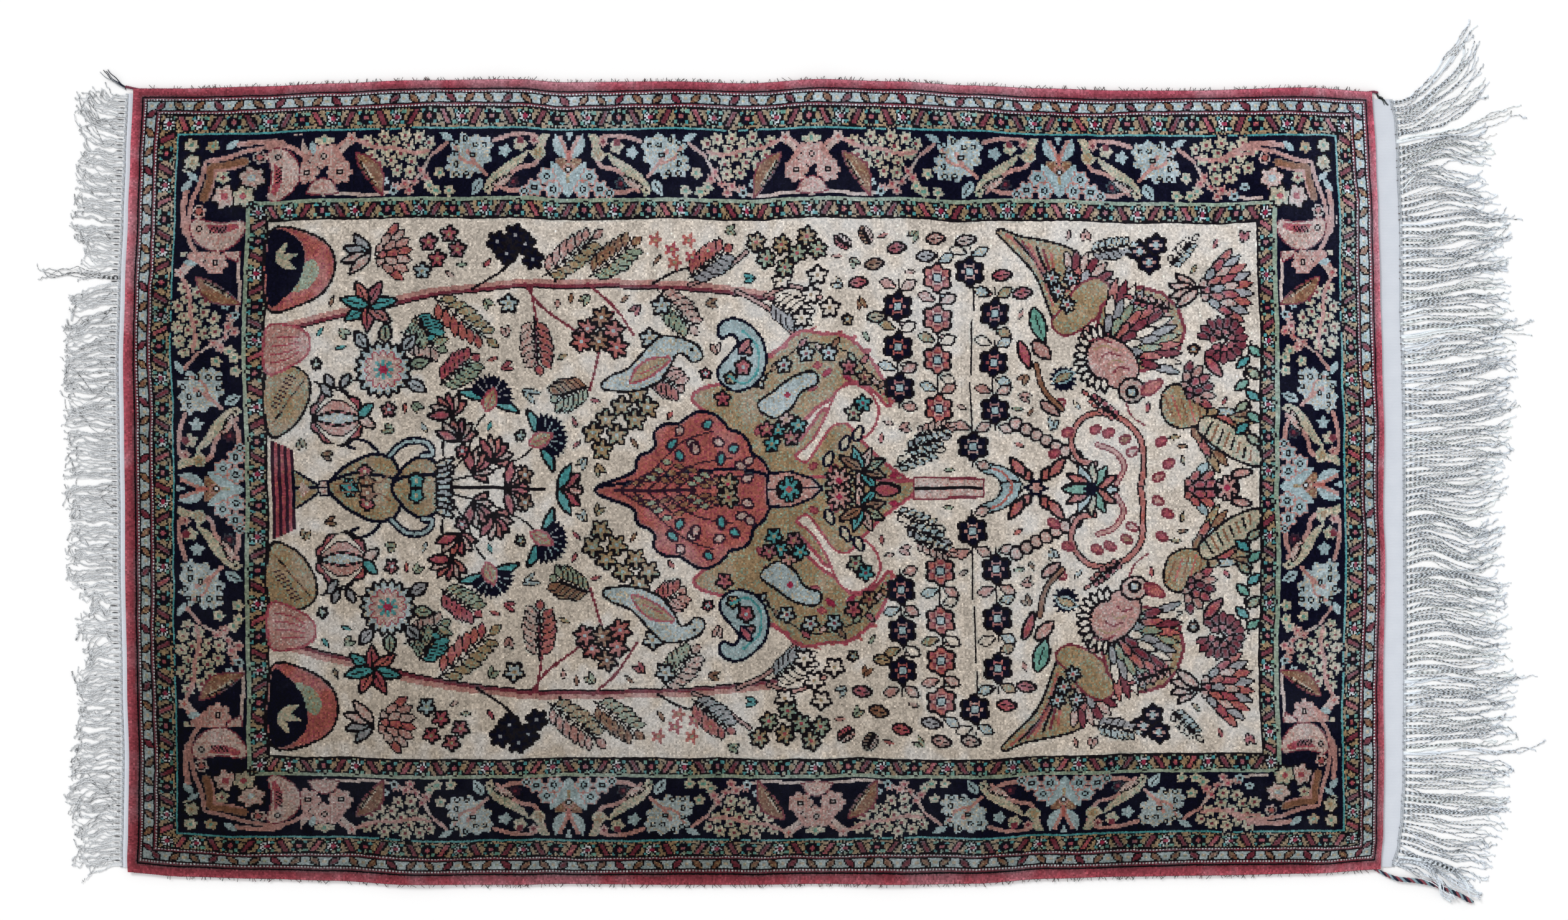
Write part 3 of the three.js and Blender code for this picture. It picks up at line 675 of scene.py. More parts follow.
def trio(pen):
    """Three double flowers under a small crown, with pink stems that cross at their sides."""
    for side in (-1, 1):
        pen.thread([(side * 4, 24), (side * 9, 13), (side * 16, 5)], 3.2, "blush")
        pen.thread([(side * 5, 8), (side * 12, 17), (side * 16, 24)], 3, "pink")
        pen.blossom(side * 16.5, 3.5, 4.2, "blush", "terracotta", 5, None)
        double_flower(pen, side * 10, 23.5, 7.2)
    double_flower(pen, 0, 14, 7.4)
    crown = [(-6.5, 6), (-6, 2.5), (-3, 3.4), (0, 0.6), (3, 3.4), (6, 2.5), (6.5, 6), (0, 7.5)]
    pen.patch(crown, "cream", None)
    pen.patch(ring((0, 4.4), 1.4), "green", None)
    skirt = [(-9, 36), (-6, 30), (0, 27.5), (6, 30), (9, 36), (4, 37.5), (0, 36.5), (-4, 37.5)]
    pen.patch(skirt, "blush", "maroon", 0.8)
    pen.thread([(-5, 34), (0, 31), (5, 34)], 1.2, "pink")


def half_repeat(pen, start, way, length=151.0, upto=151.0):
    """The run of the main border between a lily and the next trio."""
    def at(a, b):
        return (start + way * a * length / 151.0, NAVY_TOP + b)

    def fits(a):
        return a < upto

    # Pink arch, curled palmette and small pomegranates beside the lily
    pen.thread([at(15, 8), at(22, 2.5), at(34, 2.5), at(46, 6)], 2.8, "pink")
    pen.thread([at(17, 15), at(21, 20.5), at(29, 22.5), at(37, 28), at(44, 36)], 2.6, "pink")
    pen.thread([at(27, 37), at(35, 36.5), at(43, 33)], 3, "pink")
    pen.curved([at(12, 2), at(16, 1), at(19, 4), at(20, 10), at(24, 13), at(20, 17), at(14, 15), at(15, 8)],
               "cream", None, steps=4)
    pen.patch(ring(at(18, 13), 3.4, 5, 0.4), "tan", None)
    pen.blossom(*at(21.5, 5.5), 3.4, "pink", "maroon", 5, None)
    pen.patch(ring(at(30, 8.5), 4.6, 5, 0.3), "cream", None)
    pen.patch(ring(at(30, 6), 2.6), "maroon", None)
    pen.patch(ring(at(39.5, 12.5), 4.4, 5, 0.35), "sky", None)
    pen.blossom(*at(33, 31), 4.6, "plum", "maroon", 6, None)
    # A pale bird that flies down across the band
    pen.curved([at(24.5, 12), at(31, 16), at(38, 20), at(45, 25), at(50, 31), at(51.5, 36), at(48, 39),
                    at(45.5, 35), at(41, 30), at(34, 24), at(27, 18)], "cream", None, steps=4)
    pen.patch(spindle(at(34, 27), at(47, 33), 5, way * 1.0), "blush", "black", 0.7)
    for k in range(3):
        pen.thread([at(35.5 + 3 * k, 25.5 + 1.6 * k), at(38 + 3 * k, 28.5 + 1.6 * k)], 0.9, "black")
    pen.patch(ring(at(48.7, 35.2), 1.0), "black", None)
    # A pale flowering bush with many dark rings
    bush = ring(at(61, 15), 14.5, 9, 0.28, 0.2, 1.0)
    pen.patch(bush, "silver", None)
    pen.patch(ring(at(52, 9), 6.5, 6, 0.3), "silver", None)
    pen.patch(ring(at(69, 22), 7, 6, 0.3), "silver", None)
    pen.thread([at(50, 27), at(57, 20), at(62, 12)], 2.4, "pink")
    pen.thread([at(58, 20), at(66, 17), at(70, 10)], 1.8, "pink")
    for a, b in ((51.6, 8.6), (57.3, 8.4), (63.6, 5), (69, 7.3), (69.4, 13.6), (69.4, 20), (69, 26),
                 (63, 25.6), (59, 14.5)):
        pen.patch(ring(at(a, b), 1.9), "black", None)
        pen.patch(ring(at(a, b), 1.0), "silver", None)
    pen.leaf(at(53, 29), at(58.5, 39), 6.5, "sky", None, "black")
    pen.leaf(at(71, 6), at(80, 1), 4.5, "sky", None)
    pen.thread([at(75, 7), at(81, 12), at(86, 15)], 2.4, "pink")
    for a, b in ((79.3, 25), (73, 36), (81.5, 36), (86, 33)):
        pen.blossom(*at(a, b), 3.8, "cream", "green", 5, None)
    # Pink blossoms on the lower stem
    pen.thread([at(151, 37.5), at(136, 37), at(117, 38), at(103, 34), at(92, 27), at(86, 17)], 2.2, "blush")
    for a, b in ((91, 24), (95, 30), (101, 32), (107, 34), (98, 36), (88, 28)):
        if fits(a):
            pen.blossom(*at(a, b), 3.4, "pink", "rose", 5, None)
    # The cream cluster, a leaf made of small flowers
    for a, b in ((86, 7), (90, 13), (92, 4), (97, 19), (99, 9), (101, 2.8), (104, 14), (106, 24), (108, 6.5),
                 (110, 18), (113, 11.5), (114, 3), (117, 19), (119, 8), (122, 14), (98, 25), (125, 6)):
        if fits(a):
            pen.blossom(*at(a, b), 4.6, "cream", "maroon", 6, "navy", 0.35, 0.2, 0.22)
    cream_stem = [(86, 12), (96, 13.5), (108, 10.5), (120, 9.5), (131, 5), (140, 6), (147, 14)]
    pen.thread([at(a, b) for a, b in cream_stem if fits(a)], 2.3, "pink")
    for a, b in ((121, 25), (114, 30.5), (108, 36)):
        if fits(a):
            pen.blossom(*at(a, b), 3.2, "sky", "black", 5, None)
    if fits(131):
        pen.leaf(at(131, 13), at(115, 38), 9.5, "brown", "maroon", "cream", way * 2.5)
        pen.thread([at(129, 17), at(122, 30)], 0.9, "black")
        for k in range(5):
            pen.thread([at(128.6 - 2.4 * k, 18 + 3.4 * k), at(131 - 2.4 * k, 19.5 + 3.4 * k)], 0.8, "black")


def corner(pen, full):
    """Pale crescents, cream blossoms and pink stems round the corner, mirrored on its diagonal."""
    mirrored = Pen(lambda p, q: pen.put(q, p))
    for side, hand in enumerate((pen, mirrored)):
        hand.thread([(16.5, 15), (27.7, 13.2), (39, 9), (51, 6.5), (63, 7.5), (73, 14)], 2.8, "pink")
        hand.thread([(34, 5), (45, 3.5), (58, 4.5)], 3.4, "pink")
        hand.leaf((27, 8), (34, 2), 4.5, "sky", None)
        hand.blossom(18.9, 6, 4.3, "tan" if side == 0 else "cream", "green", 5, "navy")
        hand.thread([(19, 19), (28, 18), (38, 15.5)], 5.2, "brown")
        hand.thread([(21, 21), (29, 20.5), (37, 18.5)], 1.6, "pink")
        hand.patch(ring((45.7, 12.8), 4.4, 7, 0.3), "blush", None)
        hand.patch(ring((45.7, 12.8), 1.9), "terracotta", "black", 0.7)
        if full or side == 1:
            crescent = [(51, 9), (58, 8.5), (65, 13), (69, 21), (69, 28), (64, 35), (56, 39.5), (51.5, 37.5),
                        (52, 33), (53, 26), (52, 18), (50.5, 13)]
            hand.curved(crescent, "blush", "maroon", 0.9, steps=4)
            inner = [(53, 33), (54.5, 25), (54, 18), (56, 18), (59, 24), (58, 31), (55, 36)]
            hand.curved(inner, "rose", None, steps=4)
            hand.patch(ring((55.8, 13), 2.0), "black", None)
            hand.patch(ring((55.8, 13), 1.1), "blush", None)
            for k in range(4):
                hand.thread([(55.5, 29 - 2.6 * k), (59, 26.5 - 2.6 * k)], 0.9, "black")
            hand.leaf((76, 5), (78, 13), 4, "sky", None)
    pen.blossom(42, 26, 7.6, "blush", "silver", 6, "black", 0.3)
    pen.blossom(27, 37, 7.4, "blush", "rose", 6, "black", 0.3, 0.8)
    pen.blossom(38, 37, 6.6, "cream", "rose", 6, "black", 0.3)
    pen.blossom(25.5, 25.5, 4.6, "cream", "maroon", 5, None)
    pen.blossom(7.5, 15.8, 5.2, "cream", "tan", 6, "black", 0.3)
    pen.blossom(6.8, 5, 4.6, "cream", "green", 6, "black", 0.3)
    pen.leaf((5, 22), (12, 28), 4, "sky", None)


def main_border():
    pens = side_pens()
    for name, (pen, first, last) in pens.items():
        pale_guard(pen, first + 12, last - 12)
        ribbon_guard(pen, first + 33, last - 33, 19, 10)
        ribbon_guard(pen, first + 86, last - 86, 74, 8.6)
        for place in (first + 24.5, last - 24.5):
            pen.rosette(place, 24.2, "white", "crimson")
        for place in (first + 78.4, last - 78.4):
            pen.rosette(place, 78.4, "white", "crimson", 3.5)
        if name in ("upper", "lower"):
            runs = [(-114, -1, 151), (-114, 1, 151), (188, -1, 151), (188, 1, 121)]
            lilies, trios = (-114, 188), (-265, 37)
        else:
            runs = [(AXIS, -1, 151), (AXIS, 1, 151)]
            lilies, trios = (AXIS,), (AXIS - 150, AXIS + 150)
        for start, way, upto in runs:
            half_repeat(pen, start, way, 151 if name in ("upper", "lower") else 150, upto)
        for s in lilies:
            lily(placed(pen, s))
        for s in trios:
            trio(placed(pen, s))
    low_x, low_y, high_x, high_y = cartoon.limits
    for corner_x, way_x, full in ((low_x + NAVY_TOP, 1, True), (high_x - NAVY_TOP, -1, False)):
        for corner_y, way_y in ((low_y + NAVY_TOP, 1), (high_y - NAVY_TOP, -1)):
            pen = Pen(lambda p, q, cx=corner_x, cy=corner_y, wx=way_x, wy=way_y: (cx + wx * p, cy + wy * q))
            reach = 70 if full else 48
            pen.patch([(0.5, 0.5), (reach, 0.5), (reach, 39), (39.5, 39), (39.5, 70), (0.5, 70)], "navy",
                      None)
            corner(pen, full)


guards()
main_border()


class FieldPen(Pen):
    """Draws each motif of the field twice, mirrored on the rug's long axis."""

    def __init__(self):
        super().__init__(lambda x, v: (x, AXIS + v))

    def patch(self, outline, fill, edge="black", edge_width=1.55):
        outline = np.asarray(outline, float)
        for side in (1, -1):
            cartoon.patch(np.stack([outline[:, 0], AXIS + side * outline[:, 1]], 1), fill, edge, edge_width)

    def thread(self, points, width, fill, edge=None, edge_width=0.9):
        route = soft(points)
        for side in (1, -1):
            cartoon.thread(np.stack([route[:, 0], AXIS + side * route[:, 1]], 1), width, fill, edge,
                           edge_width)

    def star(self, x, v, radius, fill, heart="sky", petals=5, turn=0.3):
        self.patch(ring((x, v), radius, petals, 0.62, turn), fill)
        self.patch(ring((x, v), max(1.1, radius * 0.24)), heart, None)

    def lattice_flower(self, x, v, petal, middle, radius=8.4):
        """A six-lobed rosette with a second flower and an eye inside it."""
        self.patch(ring((x, v), radius, 6, 0.3, 0.5), petal)
        self.patch(ring((x, v), radius * 0.62, 6, 0.35, 0.0), middle,
                   "maroon" if petal == "terracotta" else "navy", 0.7)
        self.patch(ring((x, v), radius * 0.3), "sky", "navy", 0.7)

    def carnation(self, x, v, angle, radius=12.0):
        """A dark fringed fan on a tan cup, with two turquoise leaves."""
        spread = np.linspace(-1.5, 1.5, 27)
        reach = radius * np.where(np.arange(27) % 2 == 0, 1.0, 0.8)
        fan = [polar(x, v, r, angle + s) for r, s in zip(reach, spread)]
        self.leaves(x, v, 1.25 * radius, (angle - 1.7, angle + 1.7), 5, ("turquoise",))
        self.patch(fan + [polar(x, v, -0.3 * radius, angle)], "navy", None)
        for s in np.linspace(-1.1, 1.1, 6):
            self.thread([polar(x, v, 4, angle + s), polar(x, v, 0.74 * radius, angle + s)], 0.7, "grey")
        cup, rim = polar(x, v, -0.55 * radius, angle), polar(x, v, 0.35 * radius, angle)
        self.leaf(cup, rim, 7, "tan", "rose", "rose")

    def scales(self, x, v, angle, radius, rows, dyes, spread=1.2):
        """A fan of overlapping pointed feathers in several dyes, drawn from its rim inward."""
        for row in range(rows, 0, -1):
            reach = radius * row / rows
            count = max(3, round(spread * reach / 2.8))
            for k, s in enumerate(np.linspace(-spread, spread, count)):
                root, tip = polar(x, v, 0.3 * reach, angle + s), polar(x, v, reach, angle + s)
                dye = dyes[(2 * k + row) % len(dyes)]
                self.patch(spindle(root, tip, 4.6, fullness=0.72), dye, "black", 0.9)


def field_foot(pen):
    """A vase on a stepped plinth, between mounds, with carnations and sprays above it."""
    for k in range(7):
        pen.patch([(-295 + 2 * k, 0), (-293 + 2 * k, 0), (-293 + 2 * k, 31 - k), (-295 + 2 * k, 31 - k)],
                  "rose" if k % 2 else "plum", None)
    # Mounds
    pen.curved([(-296, 36), (-283, 38), (-272, 52), (-270, 66), (-280, 74), (-296, 70)], "tan", steps=4)
    pen.curved([(-296, 72), (-281, 76), (-271, 84), (-272, 94), (-284, 99), (-296, 97)], "pink", "rose",
               steps=4)
    for k in range(4):
        pen.thread([(-294, 77 + 5 * k), (-284, 79 + 4.4 * k), (-276, 84 + 3 * k)], 0.9, "rose")
    for k in range(9):
        pen.thread([(-294 + 2.6 * k, 41 + 3.2 * k), (-290 + 2.4 * k, 45 + 3.0 * k)], 1.0,
                   ("brown", "black")[k % 2])
        pen.thread([(-294 + 1.4 * k, 52 + 2.2 * k), (-290 + 1.4 * k, 50 + 2.2 * k)], 0.9, "plum")
    pen.curved([(-296, 112), (-279, 112), (-263, 120), (-256, 133), (-259, 147), (-272, 156), (-296, 158)],
               "terracotta", steps=4)
    pen.curved([(-282, 120), (-270, 124), (-265, 134), (-270, 140), (-278, 132)], "sage", None, steps=4)
    pen.curved([(-296, 114), (-286, 117), (-277, 128), (-274, 142), (-279, 154), (-296, 158)], "navy",
              None, steps=4)
    pen.leaves(-292, 140, 15, (-0.5, 0.3, 1.1), 5, ("cream",), None, rise=13)
    # Vase
    pen.patch([(-281, 0), (-281, 11), (-266, 1), (-266, 0)], "tan", "navy")
    pen.patch([(-279, 0), (-277, 5), (-271, 0)], "blush", None)
    pen.patch([(-266, 0), (-265, 4), (-260, 4), (-259, 0)], "blush", "navy", 1.3)
    pen.curved([(-259, 0), (-254, 8), (-244, 15), (-232, 20), (-222, 18), (-217, 10), (-216, 0), (-216, -4),
                    (-240, -8), (-256, -4)], "tan", "navy", 2.2, steps=4)
    pen.curved([(-220, 0), (-214, 10), (-205, 17), (-196, 15), (-191, 8), (-190, 0), (-192, -6),
                (-212, -6)], "tan", "navy", 2.2, steps=4)
    for x, v, dye in ((-237, 9.5, "rose"), (-236, 3, "brown"), (-206, 4.5, "turquoise")):
        pen.blossom(x, v, 4.2, dye, "cream", 5)
    pen.star(-247, 0, 5, "turquoise", "rose", 4)
    pen.thread([(-222, 20), (-212, 28), (-200, 27), (-196, 20), (-202, 19)], 2.0, "sky", "navy", 1.5)
    pen.thread([(-228, 21), (-234, 28), (-243, 31), (-247, 27), (-243, 25)], 2.0, "navy")
    pen.thread([(-256, 3), (-246, 3), (-238, 9), (-230, 3), (-222, 8)], 1.0, "brown")
    for k in range(9):
        s = -1.0 + 0.25 * k
        pen.leaf((-193, 13 * s), (-183.5, 17 * s), 3, "grey" if k % 2 else "silver")
    # Stems, carnations and flame sprays
    for points in ([(-186, 6), (-176, 20), (-170, 36), (-164, 44)],
                   [(-184, 4), (-160, 10), (-142, 18), (-134, 24)], [(-184, 0), (-150, 0), (-126, 0)],
                   [(-186, 10), (-190, 24), (-188, 38)]):
        pen.thread(points, 1.2, "black")
    pen.carnation(-161, 54, 1.25, 15)
    pen.carnation(-128, 30, 0.45, 15.5)
    for x, v, angle in ((-186, 44, 1.9), (-160, 18, 0.9), (-150, 3, 0.1), (-172, 11, 0.6), (-182, 29, 1.5)):
        pen.leaves(x, v, 12.5, angle + np.linspace(-1.25, 1.25, 6), 4.4, ("terracotta", "blush", "rose"))
    pen.leaves(-118, 1, 15, np.linspace(-1.1, 1.1, 5), 5, ("rose", "turquoise", "pink"))
    pen.star(-139, 8, 4.4, "brown", "sky")
    pen.star(-178, 22, 3.8, "rose", "sky")
    # Pomegranate and feathered rosette
    pen.patch(ring((-253, 44), 16.5, 9, 0.12), "rose")
    for k, s in enumerate((12, -12, 7, -7, 0)):
        pen.patch(spindle((-267, 44 + 0.2 * s), (-239, 44 + 0.2 * s), 5.6, 0.9 * s, points=9),
                  ("ivory", "ivory", "pink", "pink", "silver")[k], "black", 0.8)
    pen.leaf((-240, 44), (-231, 38), 5, "blush")
    pen.leaf((-240, 45), (-232, 52), 5, "turquoise")
    pen.patch(ring((-225, 73), 16.5, 18, 0.24), "silver")
    pen.patch(ring((-225, 73), 11.5, 12, 0.3), "blush", "rose", 0.9)
    pen.patch(ring((-225, 73), 6.5, 8, 0.5), "turquoise", None)
    pen.patch(ring((-225, 73), 3, 6, 0.4), "crimson", None)
    for k, angle in enumerate((-0.5, 0.15, 0.8, 1.5, 2.2)):
        pen.leaf(polar(-225, 73, 17, angle), polar(-225, 73, 28, angle), 6, "sage" if k % 2 else "grey",
                 "black", "black")
    pen.thread([(-240, 68), (-254, 62), (-267, 66)], 1.2, "black")
    for x, v, dx, dv in ((-250, 63, 4, 7), (-256, 63, -3, 7), (-262, 64, 5, -7)):
        pen.leaf((x, v), (x + dx, v + dv), 3.6, "grey")
    # Leaves, fan flower and small blossoms in the corner
    pen.leaves(-234, 112, 17, np.linspace(-2.5, 2.9, 7), 6, ("turquoise", "rose", "terracotta"), "black",
               "black", rise=15)
    pen.scales(-232, 142, 0.15, 24, 3, ("terracotta", "blush", "pink"), 0.8)
    pen.leaves(-234, 143, 17, (2.2, 2.8, 3.4, 4.0), 5, ("grey", "grey", "blush", "blush"), rise=15)
    for x, v in ((-198, 150), (-186, 155), (-192, 140), (-180, 146), (-201, 133)):
        pen.star(x, v, 4.8, "sky" if x % 2 else "rose", "tan")


def field_trees(pen):
    """A slim tree along each side, with its branches, sprays, star flowers and a bird."""
    trunk = [(-296, 96), (-262, 105), (-230, 112), (-200, 119), (-160, 124), (-120, 127), (-70, 126),
             (-20, 123), (12, 119)]
    pen.thread([(x, v - 1.3) for x, v in trunk], 3.2, "maroon", "black")
    pen.thread([(x, v + 0.6) for x, v in trunk], 3.0, "pink", None)
    branches = [([(-170, 122), (-152, 134), (-140, 148)], "black"),
                ([(-138, 125), (-128, 112), (-108, 97)], "maroon"),
                ([(-134, 122), (-131, 100), (-133, 76)], "maroon"),
                ([(-100, 126), (-84, 112), (-72, 94)], "maroon"),
                ([(-120, 128), (-108, 142), (-98, 156)], "black"),
                ([(-38, 125), (-22, 132), (-4, 146)], "pink"),
                ([(-84, 108), (-94, 80), (-100, 60)], "maroon"),
                ([(-60, 126), (-44, 134), (-20, 138)], "black"), ([(-10, 121), (8, 112), (24, 96)], "pink"),
                ([(8, 119), (24, 124), (42, 116)], "pink")]
    for points, dye in branches:
        pen.thread(points, 1.6, dye, "black" if dye == "pink" else None)
    sprays = [((-195, 117), (-160, 88), "tan", "terracotta"),
              ((-133, 106), (-131, 72), "terracotta", "blush"), ((-128, 130), (-96, 156), "pink", "tan"),
              ((-100, 130), (-72, 151), "brown", "sage"), ((-58, 122), (-36, 98), "blush", "sage"),
              ((-40, 128), (-16, 148), "terracotta", "grey"), ((-100, 62), (-122, 54), "sage", "brown"),
              ((-64, 74), (-44, 62), "pink", "terracotta"), ((-215, 96), (-190, 84), "sage", "blush"),
              ((-206, 106), (-196, 92), "turquoise", "sage"), ((10, 116), (34, 102), "ivory", "grey"),
              ((-192, 62), (-170, 78), "rose", "sage")]
    for start, end, one, two in sprays:
        pen.feather(start, end, 21, one, two, leaves=6)
    for x, v in ((-100, 98), (-91, 105), (-84, 96), (-93, 90), (-82, 86), (-104, 90)):
        pen.star(x, v, 6.4, "brown" if x % 2 else "terracotta", "sky", 6)
    for x, v in ((-90, 42), (-80, 50), (-72, 42), (-83, 33), (-98, 34), (-70, 58), (-92, 24), (-64, 50)):
        pen.star(x, v, 6.0, "tan", "sky", 5)
    for x, v in ((-150, 144), (-139, 150), (-145, 155), (-134, 141), (-156, 151)):
        pen.star(x, v, 6.0, "navy", "grey", 6)
    for x, v in ((-50, 146), (-40, 152), (-38, 142), (-60, 152), (-48, 138), (-28, 146)):
        pen.patch(ring((x, v), 4.8, 5, 0.6), "rose" if x % 4 else "terracotta", None)
        pen.patch(ring((x, v), 1.2), "tan", None)
    for x, v in ((-148, 112), (-55, 112), (-62, 92), (30, 104), (36, 118), (18, 128), (48, 110), (40, 130)):
        pen.star(x, v, 5.6, "silver" if x < 0 else "ivory", "tan", 5)
    for x, v in ((8, 142), (18, 150), (28, 144), (20, 136), (34, 154), (2, 152), (40, 146)):
        pen.star(x, v, 5.4, "tan" if x % 4 else "sage", "rose", 6)
    # A grey bird with a tan wing
    pen.curved([(-92, 62), (-86, 68), (-76, 72), (-66, 82), (-56, 92), (-44, 92), (-34, 88), (-31, 82),
                (-36, 79), (-40, 83), (-46, 84), (-50, 76), (-58, 66), (-70, 61), (-82, 60)], "silver")
    pen.patch(spindle((-74, 65), (-50, 80), 8, 1.5), "tan", "rose")
    pen.thread([(-68, 70), (-56, 76)], 0.9, "rose")
    pen.patch(ring((-37, 86), 1.2), "black", None)


def field_middle(pen):
    """A lobed red medallion inside a tan leafy arch with a serrated rim."""
    arch = [(-36, 56), (-28, 62), (-12, 66), (6, 78), (18, 86), (30, 95), (44, 93), (56, 92), (70, 82),
            (79, 68), (83, 52), (76, 60), (66, 66), (56, 64), (50, 56), (40, 50), (30, 40), (26, 26),
            (34, 34), (44, 46), (52, 46), (60, 38), (68, 26), (82, 14), (99, 1), (99, -4), (0, -4),
            (-10, 20), (-24, 44)]
    pen.curved(arch, "tan", "rose", 2.2)
    pen.curved([(27, 20), (36, 27), (46, 44), (52, 57), (60, 63), (70, 60), (76, 50), (74, 40), (66, 32),
                    (58, 40), (48, 38), (38, 24), (32, 17)], "ivory", "rose", 1.6)
    for k in range(14):
        x, v = soft(arch, 3, True)[6 + 2 * k]
        pen.leaf((x, v), (x + 5, v + 3.5), 2.4, "rose", None)
    vine = [(-24, 58), (-8, 64), (8, 70), (20, 80), (34, 88), (50, 86), (64, 80), (74, 68), (79, 58)]
    pen.thread(vine, 0.9, "black")
    for k, (x, v) in enumerate(soft(vine, 3)[1::2]):
        side = 1 if k % 2 else -1
        pen.patch(spindle((x, v), (x + 4.5, v + side * 5), 2.8), ("sage", "rose", "blush", "brown")[k % 4],
                  "black", 0.8)
    for x, v, dx, dv in ((34, 60, 6, 2), (44, 68, 5, 4), (2, 34, 4, 6), (46, 10, 5, 4), (34, 12, 5, 3),
                         (6, 46, 5, 5), (14, 48, 5, 3), (38, 74, 6, 1), (56, 70, 5, -4), (84, 8, 5, 2),
                         (60, 4, 5, 3)):
        pen.patch(spindle((x, v), (x + dx, v + dv), 3), "rose" if x % 4 else "crimson", "maroon", 0.7)
    pen.curved([(4, 52), (14, 60), (26, 68), (38, 70), (40, 64), (30, 60), (24, 50), (14, 44)], "silver")
    pen.patch(ring((22, 58), 2.0), "crimson", None)
    for x, v, dye in ((16, 36, "turquoise"), (24, 31, "rose"), (12, 28, "turquoise"), (21, 42, "pink"),
                      (28, 38, "turquoise"), (9, 37, "rose")):
        pen.star(x, v, 4.4, dye, "tan", 5)
    for x, v, dye in ((20, 76, "silver"), (34, 82, "silver"), (48, 82, "sky"), (60, 74, "rose"),
                      (70, 68, "brown"), (-18, 56, "rose"), (62, 46, "sage"), (68, 52, "turquoise"),
                      (4, 68, "silver")):
        pen.star(x, v, 4.6, dye, "maroon", 5)
    pen.curved([(-18, 66), (-8, 62), (3, 67), (8, 78), (6, 90), (-2, 100), (-12, 104), (-20, 100), (-19, 94),
                    (-12, 96), (-8, 90), (-14, 82), (-20, 74)], "sky", "navy", 1.8)
    pen.blossom(-5, 76, 4.6, "rose", "sky", 5)
    pen.leaf((-6, 88), (0, 84), 4, "terracotta")
    pen.star(-13, 69, 3.4, "tan", "rose")
    pen.thread([(-14, 70), (-4, 66), (4, 74), (3, 88), (-6, 97)], 1.5, "turquoise")
    pen.leaf((-2, 92), (-8, 84), 4, "rose", "navy")
    pen.leaves(66, 12, 15, np.linspace(-2.4, 2.6, 8), 5, ("sage", "blush", "turquoise", "brown"), "black",
               "black", rise=14)
    pen.star(52, 5, 8, "pink", "crimson", 8)
    pen.leaf((74, 0), (90, 1), 7, "rose")
    for x, v in ((44, 14), (54, 24), (62, 30)):
        pen.leaf((x, v), (x + 4, v + 8), 4, "cream", "navy")
    medallion = [(-94, 0), (-84, 5), (-74, 9), (-70, 14), (-69, 20), (-63, 23), (-59, 28), (-60, 35),
                 (-53, 40), (-46, 40), (-41, 43), (-34, 47), (-26, 46), (-20, 42), (-15, 36), (-8, 34),
                 (-3, 29), (-1, 22), (5, 18), (9, 10), (9, 0), (9, -8), (-20, -12), (-80, -3)]
    pen.curved(medallion, "terracotta", "navy", 2.0)
    pen.thread([(-84, 0), (-60, 0), (-34, 0)], 1.2, "plum")
    for k in range(6):
        root = -82 + 8.5 * k
        tip = (root + 19 - 0.6 * k, 21 - 2.6 * k if k > 1 else 11 + 8 * k)
        pen.thread([(root, 0), ((root + tip[0]) / 2 - 1, tip[1] * 0.42), tip], 1.2, "plum")
        for share in (0.45, 0.7, 0.95):
            at = (root + share * (tip[0] - root), share * tip[1])
            pen.patch(spindle(at, (at[0] + 6.5, at[1] - 1.5), 2.8), ("brown", "sage", "brown")[k % 3],
                      "plum", 0.7)
    for points in ([(-52, 6), (-34, 16), (-12, 20)], [(-56, 18), (-42, 30), (-24, 36)],
                   [(-30, 12), (-16, 8), (0, 10)]):
        pen.thread(points, 1.0, "plum")
    for x, v, dx, dv in ((-52, 26, 5, 5), (-46, 34, 2, 5), (-40, 28, 6, 0), (-30, 38, 4, 4), (-24, 30, 6, -2),
                         (-34, 22, -3, 6), (-14, 24, 5, 3), (-10, 16, 6, -2), (-20, 16, 1, 7), (-4, 16, 4, 4),
                         (-44, 18, -2, 6), (-6, 6, 6, 3)):
        pen.leaf((x, v), (x + dx, v + dv), 3.8, "turquoise" if (x + v) % 3 else "blush", "plum")
    pen.star(-15, 4, 6, "tan", "crimson", 6)
    pen.patch([(9, 0), (10, 9), (22, 10), (34, 6), (41, 0)], "pink", "navy", 1.5)
    pen.star(22, 0, 7, "turquoise", "rose", 6)
    # Two slim columns, a crescent and a small rosette
    pen.patch([(99, 0), (99, 6), (140, 5), (140, 0)], "blush", "maroon", 1.4)
    pen.patch([(99, 0), (99, 1.2), (140, 1.0), (140, 0)], "black", None)
    pen.curved([(137, 14), (149, 14), (159, 8), (162, 0), (162, -3), (152, -3), (152, 2), (148, 8),
                (141, 10)], "sky", "black", 1.2)
    pen.thread([(140, 13), (150, 11), (157, 3), (157, 0)], 1.4, "terracotta")
    pen.patch(ring((172, 0), 8, 6, 0.4), "navy", None)
    pen.patch(ring((172, 0), 4, 6, 0.4), "pink", None)
    for dx, dv in ((-7, 10), (7, 11), (-13, 16), (14, 16)):
        pen.leaf((172 + dx * 0.6, dv * 0.5), (172 + dx * 1.2, dv * 1.15), 5, "terracotta")


